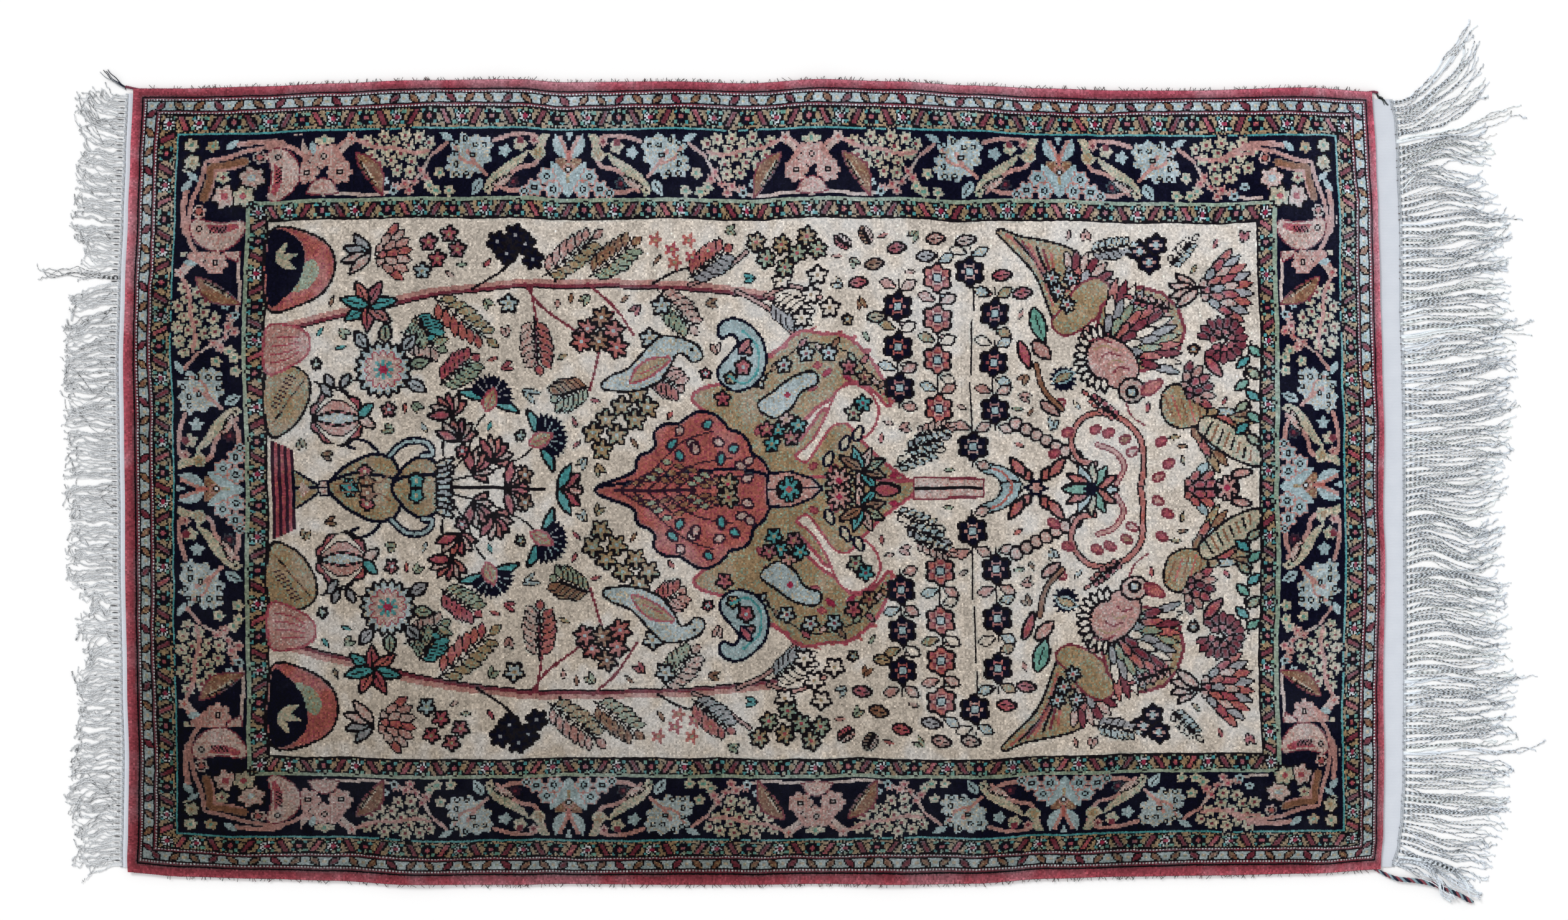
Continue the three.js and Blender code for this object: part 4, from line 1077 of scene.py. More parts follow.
def field_head(pen):
    """Rows of six-lobed rosettes on leafy stems, then scrolls, and large birds with feathered fans."""
    columns = [(114, (130, 105, 80, 50), "terracotta", "pink"), (90, (112, 87, 62), "navy", "terracotta"),
               (148, (109, 79, 49), "navy", "terracotta"), (134, (134, 26), "navy", "pink")]
    for x, places, petal, middle in columns:
        pen.thread([(x, places[0] + 16), (x + 1.5, places[0]), (x - 1, places[-1]), (x, places[-1] - 13)],
                   0.9, "black")
        for k, v in enumerate(places):
            for side, up, reach, rise in ((1, 9.5, 8.5, 5.5), (-1, 11.5, 9.0, 3.0), (1, -10.5, 8.0, -2.5)):
                dye = ("blush", "ivory", "pink", "tan", "silver")[(k + x + round(up)) % 5]
                pen.patch(spindle((x + side * 1.8, v + up), (x + side * reach * 1.25, v + up + rise), 5.2,
                                  fullness=0.55), dye, "black", 1.0)
            pen.lattice_flower(x, v, petal, middle)
    for x, v, dye in ((84, 146, "rose"), (108, 153, "pink"), (126, 153, "blush"), (60, 124, "rose"),
                      (148, 131, "rose"), (70, 136, "brown"), (160, 120, "rose"), (72, 104, "tan"),
                      (102, 142, "grey")):
        pen.leaf((x, v), (x + 11, v + 2), 5.4, dye, "black", "black")
    for k in range(3):
        pen.feather((86 + 6 * k, 14 + 9 * k), (114 + 4 * k, 24 + 8 * k), 11, ("ivory", "grey", "blush")[k],
                    "silver", leaves=5)
    # Chain, scroll and palmette before the crescent
    for k in range(7):
        pen.patch(ring((160 + 6 * k, 40 - 3.4 * k), 3.2, 0, 0), "blush")
    scroll = [(236, 0), (238, 14), (236, 32), (226, 44), (210, 48), (198, 42), (193, 30), (198, 18),
              (208, 16)]
    pen.thread(scroll, 2.6, "terracotta", "black")
    pen.thread([(222, 4), (226, 14), (220, 24), (210, 28)], 2.0, "pink", "maroon")
    pen.feather((224, 44), (204, 60), 8, "terracotta", "rose", leaves=5)
    pen.leaves(206, 0, 17, np.linspace(0.0, 3.1, 7), 5.4, ("sky", "terracotta", "green", "cream"), rise=16)
    pen.patch(ring((206, 0), 5, 6, 0.3), "navy", None)
    for x, v, dye in ((214, 34, "rose"), (224, 30, "brown"), (206, 36, "rose"), (228, 22, "blush"),
                      (184, 52, "pink"), (180, 20, "rose"), (188, 34, "rose"), (246, 28, "rose"),
                      (250, 14, "rose"), (244, 6, "pink")):
        pen.leaf((x, v), (x + 6, v + 3), 3.6, dye, "maroon")
    # Small dark paisley and bell flowers
    pen.patch(ring((190, 69), 9, 14, 0.3), "navy", None)
    pen.patch(spindle((183, 66), (198, 73), 8.5, 1), "sky", None)
    pen.patch(spindle((185, 67), (196, 72), 4.4, 1), "tan", "black", 0.7)
    pen.leaf((172, 112), (178, 92), 8, "green", "black", "black")
    pen.leaf((172, 92), (182, 82), 7, "pink")
    pen.leaf((164, 92), (170, 76), 5, "rose")
    pen.thread([(174, 78), (178, 62), (188, 50)], 2.4, "brown", "black")
    pen.leaf((176, 54), (186, 46), 5, "pink")
    # Large bird with two feathered fans and a striped tail
    tail = [(150, 159), (166, 155), (186, 151), (198, 146), (206, 134), (196, 120), (186, 106), (180, 118),
            (172, 136)]
    pen.curved(tail, "tan")
    for k in range(7):
        pen.thread([(156 + 4.6 * k, 157 - 2.0 * k), (174 + 2.4 * k, 140 - 3.0 * k),
                    (184 + 1.8 * k, 114 + 1.5 * k)], 1.7, ("terracotta", "black", "maroon")[k % 3])
    pen.scales(198, 118, 0.75, 29, 3, ("terracotta", "blush", "grey", "maroon"), 1.0)
    pen.curved([(184, 104), (192, 112), (200, 124), (212, 130), (220, 124), (216, 112), (202, 100),
                (190, 97)], "tan", "maroon")
    for x, v in ((188, 122), (196, 130), (184, 130), (194, 114)):
        pen.star(x, v, 4.2, "silver", "rose", 6)
    pen.patch(ring((238, 100), 25, 0, 0, 0, 1.0), "tan", "maroon", 2.2)
    pen.patch(ring((240, 104), 17, 0, 0, 0, 1.0), "blush", None)
    pen.scales(216, 86, 0.55, 46, 4, ("terracotta", "ivory", "sage", "maroon", "grey"), 0.85)
    pen.curved([(204, 100), (202, 84), (210, 72), (222, 64), (232, 66), (236, 76), (230, 88), (220, 94),
                    (212, 98)], "pink", "black", 1.2)
    for k in range(12):
        turn = 1.7 + 0.27 * k
        pen.leaf(polar(216, 82, 12, turn, 13), polar(216, 82, 19, turn, 20), 2.6, "ivory")
    for k in range(5):
        pen.thread([(206 + 4 * k, 92 - 4.6 * k), (213 + 3 * k, 94 - 4.4 * k), (221 + 2.4 * k, 91 - 4 * k)],
                   1.1, ("maroon", "tan")[k % 2])
    pen.patch(ring((232, 62), 7.5, 0, 0, 0, 0.9), "blush")
    pen.patch(ring((232, 61), 2.4, 0), "silver", "black")
    pen.leaf((238, 60), (250, 67), 6, "terracotta", "maroon")
    pen.thread([(228, 55), (232, 46), (240, 40)], 1.2, "maroon")
    # Second bird, low by the head of the field
    pen.scales(262, 48, -0.55, 44, 4, ("tan", "silver", "brown", "terracotta"), 0.5)
    pen.curved([(250, 56), (252, 44), (262, 38), (274, 42), (276, 52), (268, 62), (256, 64)], "tan")
    pen.scales(262, 60, 0.4, 20, 3, ("rose", "maroon", "pink"), 0.9)
    for k in range(5):
        pen.thread([(251 + 5 * k, 59 - 1.5 * k), (256 + 4.4 * k, 45 - k)], 1.3,
                   ("brown", "terracotta")[k % 2])
    tail = [(276, 44), (290, 38), (306, 26), (309, 14), (296, 17), (282, 26), (272, 36)]
    pen.curved(tail, "cream")
    for k in range(8):
        pen.thread([(280 + 3.4 * k, 41 - 2.7 * k), (275 + 4 * k, 32 - 2.2 * k)], 1.4,
                   ("black", "brown")[k % 2])
    # Palmette, flowers, sprays and a leafy edge at the corner
    pen.scales(272, 124, 0.1, 34, 4, ("terracotta", "blush", "grey", "rose"), 0.75)
    pen.leaves(272, 124, 16, (2.4, 2.9, 3.4, 3.9), 5, ("blush",), rise=14)
    for x, v in ((238, 148), (248, 152), (244, 141)):
        pen.lattice_flower(x, v, "navy", "pink", 6.2)
    pen.feather((206, 146), (234, 152), 13, "silver", "grey")
    pen.feather((258, 112), (232, 120), 8, "rose", "pink", leaves=5)
    pen.feather((256, 138), (272, 156), 10, "ivory", "silver", leaves=5)
    pen.scales(286, 93, 0.3, 15, 2, ("maroon", "rose"), 2.6)
    pen.leaf((276, 82), (286, 70), 5, "rose")
    pen.thread([(303, 92), (300, 70), (304, 50), (300, 32)], 1.2, "black")
    for k in range(9):
        pen.leaf((302, 88 - 7 * k), (295 if k % 2 else 309, 82 - 7 * k), 4,
                 ("green", "turquoise", "sage")[k % 3])
    pen.scales(262, 0, 0.0, 22, 3, ("rose", "sky", "terracotta"), 0.8)
    pen.star(289, 0, 7, "pink", "crimson", 6)
    pen.leaf((292, 8), (304, 10), 4, "pink")


def scattered_sprigs(pen, count=2600):
    """Small sprigs, buds and leaves wherever the ground of the field is still bare."""
    ground = DYE_NAMES.index("ivory")
    for _ in range(count):
        x, v = dice.uniform(FIELD_LEFT + 6, FIELD_RIGHT - 6), dice.uniform(4, FIELD_HIGH - AXIS - 6)
        column, row = int(x - cartoon.low[0]), int(AXIS + v - cartoon.low[1])
        angle, kind = dice.uniform(0, 2 * math.pi), dice.integers(0, 5)
        dye = ("rose", "blush", "sage", "terracotta", "tan", "turquoise", "silver", "brown",
               "pink")[dice.integers(0, 9)]
        for room in (13, 10, 7, 5, 4):
            near = cartoon.knots[column - room:column + room + 1, row - room:row + room + 1]
            if (near == ground).all():
                break
        else:
            continue
        size = room - 0.6

        def at(share, turn=0.0):
            return polar(x, v, share * size, angle + turn)

        if kind == 0 and room > 4:
            pen.star(x, v, size * 0.62, dye, "sky")
            pen.thread([at(-1), at(-0.6)], 0.9, "black")
        elif kind == 1 and room > 6:
            pen.feather(at(-1), at(0.7), 7.5, dye, "blush", leaves=4)
        elif kind == 2 and room > 5:
            route = [at(-1), at(0.35, math.pi / 2), at(1)]
            pen.thread(route, 0.9, "black")
            for k, root in enumerate(soft(route, 4)[1::2]):
                lean = angle + (0.9 if k % 2 else -0.9)
                pen.patch(spindle(root, polar(*root, 4.6, lean), 2.4), dye, "black", 0.8)
        elif room > 7:
            pen.thread([at(-1), (x, v)], 0.9, "black")
            for side in (-0.85, 0.05, 0.95):
                pen.leaf(at(-0.3), at(0.9, side), size * 0.36, dye)
        elif room > 4:
            for side in (-0.6, 0.6):
                pen.patch(spindle(at(-0.7), at(1, side), 2.6), dye, "black", 0.7)
        else:
            pen.patch(spindle(at(-0.9), at(0.9), 2.2), dye, "black", 0.6)


field_pen = FieldPen()
field_trees(field_pen)
field_middle(field_pen)
field_head(field_pen)
field_foot(field_pen)
scattered_sprigs(field_pen)


def knot_places():
    """Shares along and across at every second line of knots, from the measured band places."""
    def lines(count, low_side, high_side, half):
        lines_at = np.arange(0, count + 1, 2.0)
        low = -half + np.interp(lines_at, BAND_ENDS, BAND_PLACES[low_side])
        high = half - np.interp(count - lines_at, BAND_ENDS, BAND_PLACES[high_side])
        field_low, field_high = -half + BAND_PLACES[low_side][-1], half - BAND_PLACES[high_side][-1]
        field = field_low + (field_high - field_low) * (lines_at - BORDER) / (count - 2 * BORDER)
        places = np.where(lines_at <= BORDER, low, np.where(lines_at >= count - BORDER, high, field))
        return (places + half) / (2 * half)
    return (lines(KNOT_COLUMNS, "left", "right", HALF_LENGTH),
            lines(KNOT_ROWS, "lower", "upper", HALF_WIDTH))


def soft_noise(shape, size, seed):
    """Smooth noise of about one over a grid, in patches of a given size."""
    rough = np.fft.rfft2(np.random.default_rng(seed).normal(0, 1, shape))
    steps = np.fft.fftfreq(shape[0])[:, None] ** 2 + np.fft.rfftfreq(shape[1])[None, :] ** 2
    smooth = np.fft.irfft2(rough * np.exp(-4 * steps * size ** 2), shape)
    return smooth / smooth.std()


# Linear colours of the blue that has run and of the painted sheen of the nap
RUN_BLUE = np.array([0.07, 0.26, 0.29])
PAINTED_NAP_SHEEN = np.array([0.56, 0.63, 0.70])
# How unevenly single knots and whole rows took the dye, and how many knots at the edge get
# painted highlight and shade
KNOT_UNEVENNESS = 0.21
SKEIN_UNEVENNESS = 0.05
PAINTED_RIM_KNOTS = 5


def knot_colours():
    """Linear colour of every knot: dye unevenly taken up, run a little, with painted sheen and shade."""
    table = np.array([linear(DYES[name])[:3] for name in DYE_NAMES])
    colour = table[cartoon.knots]
    shape = cartoon.knots.shape
    # Blue has run a little from the dark knots into the pale ones beside them
    dark = np.isin(cartoon.knots, [DYE_NAMES.index("navy"), DYE_NAMES.index("black")]).astype(float)
    near = sum(np.roll(dark, step, axis) for step in (-1, 1) for axis in (0, 1)) / 4
    run = (0.42 * near * (1 - dark) * np.clip(0.5 + 0.7 * soft_noise(shape, 12, 3), 0, 1.3))[..., None]
    colour = colour * (1 - run) + RUN_BLUE * run
    # Each knot takes the dye a little differently, and rows were tied from different skeins
    colour = colour * np.exp(dice.normal(0, KNOT_UNEVENNESS, shape))[..., None]
    colour = colour * np.exp(dice.normal(0, SKEIN_UNEVENNESS, (shape[0], 1)))[..., None]
    # Painted shade and sheen: the nap lies toward the foot and the lower side, and the pile is
    # painted deep and warm there, lighter and silvery toward the head
    across = np.interp(cartoon.y, [-252, -150, 0, 246], [-1.25, -0.45, 0.1, 0.9])
    lean = np.clip(0.5 + 0.28 * cartoon.x / 390 + 0.42 * across, 0, 1.2)[..., None]
    painted_light_tint = np.array([1.05, 1.0, 0.93]) + np.array([-0.08, 0.0, 0.12]) * lean
    # Painted shade where the lean is low and painted light where it is high
    colour = colour * (0.42 + 0.72 * lean) * painted_light_tint
    # The nap also leans this way and that, in soft patches from a hand to a thumb wide, painted
    # as sheen where a patch is high and as shade where it is low
    nap = 0.5 * soft_noise(shape, 46, 7) + 0.45 * soft_noise(shape, 15, 8) + 0.35 * soft_noise(shape, 5, 9)
    nap = np.clip(nap, -1.3, 1.5)[..., None]
    bright = np.clip(colour.mean(-1, keepdims=True) / 0.35, 0.02, 1)
    # Painted sheen: the paler knots are drawn toward the sheen colour
    colour = colour + (PAINTED_NAP_SHEEN - colour) * np.clip(0.10 * lean + 0.17 * nap, 0, 0.4) * bright
    # Painted shade where the patches are low
    colour = colour * (1 + 0.14 * np.minimum(nap, 0))
    # The outer knots lean out over the edge: painted highlight on the outermost ones, painted shade
    # on the few just inside, most of all low and at the head, least on the upper side
    rim = np.minimum(*cartoon_margins())
    outer = np.where(rim < PAINTED_RIM_KNOTS, 0.62 + 0.2 * (PAINTED_RIM_KNOTS - rim), 1.0)
    side = np.where(cartoon.y < -235, 1.35, np.where(cartoon.y > 230, 0.86, 1.16))
    outer = outer * np.where(rim < PAINTED_RIM_KNOTS, side, np.where((cartoon.x > 372) & (rim < 17), 1.1, 1.0))
    colour = colour * outer[..., None]
    return np.clip(colour, 0.002, 0.95)


def silk_pile():
    """The pile in six lengthwise strips of knots, two by two to a face."""
    u, v = knot_places()
    # One more line all round for the rim, and one for the foot of the pile's edge
    u, v = (np.concatenate([[0, 0], shares, [1, 1]]) for shares in (u, v))
    columns, rows = len(u), len(v)
    rim_x = np.minimum(np.arange(columns), np.arange(columns)[::-1])
    rim_y = np.minimum(np.arange(rows), np.arange(rows)[::-1])
    rim = np.minimum(rim_x[:, None], rim_y[None, :])
    inset = np.select([rim == 0, rim == 1], [PILE_OVERHANG, 0.15], 0.0)
    x, y = plan_point(u[:, None] + np.zeros((1, rows)), v[None, :] + np.zeros((columns, 1)), inset)
    inner = np.clip((rim - 2) / 6, 0, 1)
    wave_x = 0.9 * soft_noise(x.shape, 26, 21) + 0.35 * soft_noise(x.shape, 7, 22)
    wave_y = 0.9 * soft_noise(x.shape, 26, 23) + 0.35 * soft_noise(x.shape, 7, 24)
    x = x + inner * (wave_x + dice.normal(0, 0.22, x.shape))
    y = y + inner * (wave_y + dice.normal(0, 0.22, x.shape))
    z = RUG_THICKNESS - 0.2 + 0.12 * soft_noise(x.shape, 5, 25) + dice.normal(0, 0.09, x.shape)
    edge_heights = [FOUNDATION_THICKNESS + 0.05, PILE_EDGE_HEIGHT, RUG_THICKNESS - PILE_EDGE_DROP]
    z = np.select([rim == 0, rim == 1, rim == 2], edge_heights, z)
    z = np.minimum(z, RUG_THICKNESS) + lift(x, y)
    points = np.stack([x, y, z], -1)
    colour = knot_colours()
    alpha = np.ones(colour.shape[:2] + (1,))
    colour = np.concatenate([colour, alpha], -1)
    blocks = [colour[i::2, j::2] for j in (0, 1) for i in (0, 1)]
    blocks = [np.pad(block, ((2, 2), (2, 2), (0, 0)), mode="edge") for block in blocks]
    material = cut_silk_pile()
    strips = []
    bounds = np.linspace(0, rows - 1, 7).round().astype(int)
    for number, (start, end) in enumerate(zip(bounds[:-1], bounds[1:])):
        parts = [block[:, start:end] for block in blocks]
        strips.append(pile_strip(number, points[:, start:end + 1], parts, material))
    return strips


def pile_strip(number, points, blocks, material):
    columns, rows = points.shape[:2]
    faces = grid_faces(np.arange(columns * rows).reshape(columns, rows))
    made = piece(f"silk_pile_{number + 1}", points.reshape(-1, 3), faces.tolist(), material,
                 "rug_body", smooth=False)
    mesh = made.data
    for name, block in zip(KNOT_LAYERS, blocks):
        layer = mesh.attributes.new(name, "FLOAT_COLOR", "CORNER")
        layer.data.foreach_set("color", np.repeat(block.reshape(-1, 4), 4, axis=0).ravel())
    knots = mesh.uv_layers.new(name="Knots")
    knots.data.foreach_set("uv", np.tile([0, 0, 1, 0, 1, 1, 0, 1], len(faces)).astype(np.float32))
    # The strip folded in three on a square, so that its knots come out large when its colours are baked
    fold = math.ceil((columns - 1) / 3)
    column, row = np.divmod(np.arange(len(faces)), rows - 1)
    along = 0.004 + 0.992 * ((column % fold)[:, None] + np.array([0, 1, 1, 0])) / fold
    across = (column // fold)[:, None] / 3 + 0.003
    across = across + 0.327 * (row[:, None] + np.array([0, 0, 1, 1])) / (rows - 1)
    folded = mesh.uv_layers.new(name="OFBake")
    folded.data.foreach_set("uv", np.stack([along, across], -1).astype(np.float32).ravel())
    return made


def foundation():
    """The knotted foundation under the pile: a thin closed slab of warps and wefts."""
    columns, rows = 61, 41
    u, v = np.meshgrid(np.linspace(0, 1, columns), np.linspace(0, 1, rows), indexing="ij")
    x, y = plan_point(u, v, PILE_OVERHANG)
    ripple = lift(x, y)
    top = np.stack([x, y, FOUNDATION_THICKNESS + ripple], -1).reshape(-1, 3)
    bottom = np.stack([x, y, ripple], -1).reshape(-1, 3)
    index = np.arange(columns * rows).reshape(columns, rows)
    upper = grid_faces(index)
    lower = upper[:, ::-1] + len(top)
    rim = np.concatenate([index[:-1, 0], index[-1, :-1], index[:0:-1, -1], index[0, :0:-1]])
    ahead = np.roll(rim, -1)
    wall = np.stack([rim + len(top), ahead + len(top), ahead, rim], -1)
    cloth = plain_weave("knotted_foundation", "#b9aca0", "#8d7c78")
    return piece("foundation", np.concatenate([top, bottom]), np.concatenate([upper, lower, wall]).tolist(),
                 cloth, "rug_body", smooth=False)


def foundation_edge(u, y):
    """Where the foundation's short edge is, at places across the rug."""
    v = np.linspace(0, 1, 41)
    edge_x, edge_y = plan_point(np.full(41, float(u)), v, PILE_OVERHANG)
    return np.interp(y, edge_y, edge_x)


def kilim_end(name, node, inner, outer, low, high):
    """A plain-woven end: a thin band with a rounded outer edge and slight cockling."""
    places = np.linspace(low, high, 240)
    share = np.array([0, 0, 0.06, 0.25, 0.5, 0.75, 0.94, 1, 1])
    height = np.array([0, 0.9, 1, 1, 1, 1, 0.95, 0.6, 0])
    left, right = inner(places), outer(places)
    x = left[:, None] + (right - left)[:, None] * share[None, :]
    z = KILIM_THICKNESS * height[None, :] * np.ones((len(places), 1))
    z[:, 2:7] += 0.12 * soft_noise((len(places), 5), 3, 31)
    y = places[:, None] + 0 * x
    points = np.stack([x, y, z], -1)
    columns, rows = x.shape
    index = np.arange(columns * rows).reshape(columns, rows)
    faces = np.stack([index[:-1, :-1], index[:-1, 1:], index[1:, 1:], index[1:, :-1]], -1).reshape(-1, 4)
    base = np.stack([index[:-1, 0], index[1:, 0], index[1:, -1], index[:-1, -1]], -1)
    if right[0] < left[0]:
        faces, base = faces[:, ::-1], base[:, ::-1]
    every = np.concatenate([faces, base]).tolist()
    return piece(name, points.reshape(-1, 3), every, KILIM_CLOTH, node)


def tubes(routes, radii, sides, dyes, twist_per_mm=0.0, aspect=1.0):
    """Closed tubes along many routes of equal length: points, faces, dye and twist for each corner."""
    routes = np.asarray(routes, float)
    count, steps = routes.shape[:2]
    ahead = np.gradient(routes, axis=1)
    ahead /= np.linalg.norm(ahead, axis=2, keepdims=True) + 1e-9
    sideways = np.stack([-ahead[..., 1], ahead[..., 0], np.zeros((count, steps))], -1)
    sideways /= np.linalg.norm(sideways, axis=2, keepdims=True) + 1e-9
    up = np.cross(ahead, sideways)
    walked = np.cumsum(np.linalg.norm(np.diff(routes, axis=1), axis=2), 1)
    length = np.concatenate([np.zeros((count, 1)), walked], 1)
    radii = np.broadcast_to(np.asarray(radii, float), (count, steps))
    around = 2 * np.pi * np.arange(sides) / sides
    wide = radii[..., None] * np.cos(around)
    tall = radii[..., None] * np.sin(around) * aspect
    turn = length[..., None] * twist_per_mm
    across = wide * np.cos(turn) - tall * np.sin(turn)
    over = wide * np.sin(turn) + tall * np.cos(turn)
    points = (routes[:, :, None, :] + across[..., None] * sideways[:, :, None, :]
              + over[..., None] * up[:, :, None, :])
    index = np.arange(count * steps * sides).reshape(count, steps, sides)
    near, far = index[:, :-1], index[:, 1:]
    faces = np.stack([near, np.roll(near, -1, 2), np.roll(far, -1, 2), far], -1).reshape(-1, 4).tolist()
    for k in range(count):
        faces.append(index[k, 0, ::-1].tolist())
        faces.append(index[k, -1].tolist())
    point_dye = np.repeat(np.asarray(dyes, float)[:, None, :], steps * sides, 1).reshape(-1, 4)
    twist = np.stack([np.broadcast_to(np.arange(sides) / sides, (count, steps, sides)),
                      np.broadcast_to(length[..., None], (count, steps, sides))], -1).reshape(-1, 2)
    return points.reshape(-1, 3), faces, point_dye, twist


def yarn_piece(name, parts, material, node):
    """One piece made of several lots of tubes, with their dye and twist on the mesh."""
    points, lots_of_faces, dyes, twists = zip(*parts)
    starts = np.cumsum([0] + [len(lot) for lot in points])
    faces = [[int(i + start) for i in face] for start, lot in zip(starts, lots_of_faces) for face in lot]
    made = piece(name, np.concatenate(points), faces, material, node)
    mesh = made.data
    layer = mesh.attributes.new("Dye", "FLOAT_COLOR", "POINT")
    layer.data.foreach_set("color", np.concatenate(dyes).astype(np.float32).ravel())
    corner = np.zeros(len(mesh.loops), np.int32)
    mesh.loops.foreach_get("vertex_index", corner)
    uv = mesh.uv_layers.new(name="Twist")
    uv.data.foreach_set("uv", np.concatenate(twists)[corner].astype(np.float32).ravel())
    return made


def fringe_threads(flow, strays, low, high, root_x, outward, bundles, steps, curl, root, seed,
                   threads=4, radius=0.6):
    """Routes of every thread of a fringe, bundle by bundle, lying on the floor and on each other.
    Bundles leave the cloth drawn tight, open out, and gather in locks that leave gaps. The free
    ends have kinks from long use, and here and there a thread strays across its neighbours."""
    rng = np.random.default_rng(seed)
    pitch = (high - low) / bundles
    share = 1 - (1 - np.linspace(0, 1, steps)) ** 1.3
    routes = []
    lock_left, lock_lean, lock_middle = 0, 0.0, 0.0
    for k in range(bundles):
        root_y = low + (k + 0.5) * pitch
        if lock_left == 0:
            lock_left = rng.integers(2, 6)
            lock_lean = rng.normal(0, 1.9)
            lock_middle = root_y + (lock_left - 1) * pitch / 2
            lock_wave, lock_turns, lock_start = rng.uniform(0.8, 3.4), rng.uniform(0.7, 1.7), rng.uniform()
        lock_left -= 1
        stray = next((row for row in strays if abs(row[0] - root_y) <= pitch / 2), None)
        reach, rise = (stray[1], stray[2]) if stray else (eased(flow, root_y, 1), eased(flow, root_y, 2))
        bow, sway = eased(flow, root_y, 3), eased(flow, root_y, 4)
        drift = rng.normal(0, 1.3) + lock_lean + 0.2 * (lock_middle - root_y)
        for t in range(threads):
            fan = (t - (threads - 1) / 2) / threads
            own = reach * rng.uniform(0.84, 1.05)
            free = np.clip((share * own - root) / (own - root), 0, 1)
            start_y = root_y + fan * pitch * 0.5
            spread = fan * pitch * 0.9 + rng.normal(0, 2.8) + drift
            wave = np.sqrt(free) * rng.uniform(0.5, 1.9) * np.sin(
                2 * np.pi * (free * rng.uniform(1.5, 4.0) + rng.uniform()))
            wave = wave + np.sqrt(free) * lock_wave * np.sin(
                2 * np.pi * (free * lock_turns + lock_start + rng.normal(0, 0.05)))
            loose = np.clip((share - 0.55) / 0.45, 0, 1)
            kinks = rng.normal(0, 0.3, steps) + rng.normal(0, 0.9, steps) * loose
            across = 0.0
            if rng.random() < 0.09:
                across = rng.uniform(5, 12) * rng.choice([-1, 1]) * np.sin(np.pi * free * rng.uniform(1, 1.7))
            tip = np.clip((share - 0.84) / 0.16, 0, 1)
            hook = curl * rng.normal(0, 1) * tip ** 2
            back = curl * abs(rng.normal(0, 0.6)) * tip ** 3
            y = (start_y + rise * free ** RISE_POWER + bow * np.sin(np.pi * free)
                 + sway * np.sin(2 * np.pi * free) + spread * free ** 0.8 + wave
                 + kinks * np.minimum(1, 4 * free) + hook + across)
            x = root_x(root_y) + outward * (own * share - back + 0.6 * kinks[::-1] * tip)
            height = radius + rng.uniform(0, 1.0) * np.sin(np.pi * share) ** 0.7 * (
                0.6 + 0.4 * np.sin(2 * np.pi * (share * rng.uniform(1, 3) + rng.uniform())))
            height = np.maximum(height, radius) + 0.07 * np.abs(across)
            height[0] = 0.75
            routes.append(np.stack([x, y, height], -1))
    return np.array(routes)


def painted_root_gap_shade(root_x, outward, low, high, pitch, start, length, thickness, rng):
    """Painted shade: dark tubes in the gaps between bundles where they leave the cloth, deepest toward
    the upper right corner.
    """
    share = np.linspace(0, 1, 4)
    parts = []
    for y in np.arange(low + pitch, high - pitch, pitch):
        if rng.random() < (0.4 if outward > 0 else 0.1):
            continue
        reach = length * rng.uniform(0.6, 1.2)
        route = np.column_stack([root_x(y) + outward * (start + reach * share),
                                 y + rng.normal(0, 0.3) + 0.3 * share, np.full(4, 1.65)])
        thick = thickness * rng.uniform(0.7, 1.2) * np.array([0.4, 1, 1, 0.3])
        # Colours of the painted shade in the gaps
        shade = "#8d9096" if outward > 0 and y < 110 else "#5b4f4b" if outward > 0 else "#4b4c50"
        parts.append(tubes([route], thick[None, :], 4, yarn(shade, 1, 0.3, rng)))
    return parts


def yarn(hex_colour, count, spread, rng):
    """Linear colours of many yarns of one dye, each a little lighter or darker."""
    base = np.array(linear(hex_colour))
    made = np.repeat(base[None, :], count, 0)
    made[:, :3] *= np.exp(rng.normal(0, spread, (count, 1)))
    return np.clip(made, 0, 1)


def right_kilim_inner(y):
    return foundation_edge(1, y) + GAP


def right_kilim_outer(y):
    return eased(KILIM_OUTER, y, 1)


def left_kilim_inner(y):
    return foundation_edge(0, y) - GAP


def left_kilim_outer(y):
    return left_kilim_inner(y) - PILE_OVERHANG - LEFT_KILIM_WIDTH


def twined_line(root_x, outward, low, high, offset, radius, rng):
    """A twined cord across the warps at the end of the plain weave."""
    y = np.linspace(low, high, 420)
    x = root_x(y) + outward * offset + 0.15 * np.sin(y / 1.9)
    z = np.full_like(y, radius)
    return tubes([np.stack([x, y, z], -1)], radius * (1 + 0.12 * np.sin(y * 1.8)), 6,
                 yarn("#c9cfd6", 1, 0, rng), 0.9, 0.8)


RIGHT_LOW, RIGHT_HIGH = KILIM_OUTER[0, 0] + 1, KILIM_OUTER[-1, 0] - 1
LEFT_LOW, LEFT_HIGH = LONG_EDGES[0, 2] + 4.5, LONG_EDGES[0, 1] - 4.5

KILIM_CLOTH = plain_weave("undyed_plain_weave", "#dbe0e8", "#ccd2dc")
FRINGE_YARN = twisted_yarn("undyed_fringe_yarn", 0.7)
BINDING_YARN = twisted_yarn("overcast_binding_yarn", 0.65)

pile_strips = silk_pile()
base = foundation()
kilim_right = kilim_end("wide_kilim", "kilim_end_right", right_kilim_inner, right_kilim_outer, RIGHT_LOW,
                        RIGHT_HIGH)
kilim_left = kilim_end("narrow_kilim", "kilim_end_left", left_kilim_inner, left_kilim_outer, LEFT_LOW,
                       LEFT_HIGH)


def frayed(count, steps, rng):
    """Share of its full thickness at each step of a thread: slimmer outward, and some with a knotted end."""
    share = np.tile(np.linspace(1, 0.72, steps), (count, 1))
    knotted = rng.random(count) < 0.4
    share[knotted, -3:] = rng.uniform(0.9, 1.7, (knotted.sum(), 3))
    return share


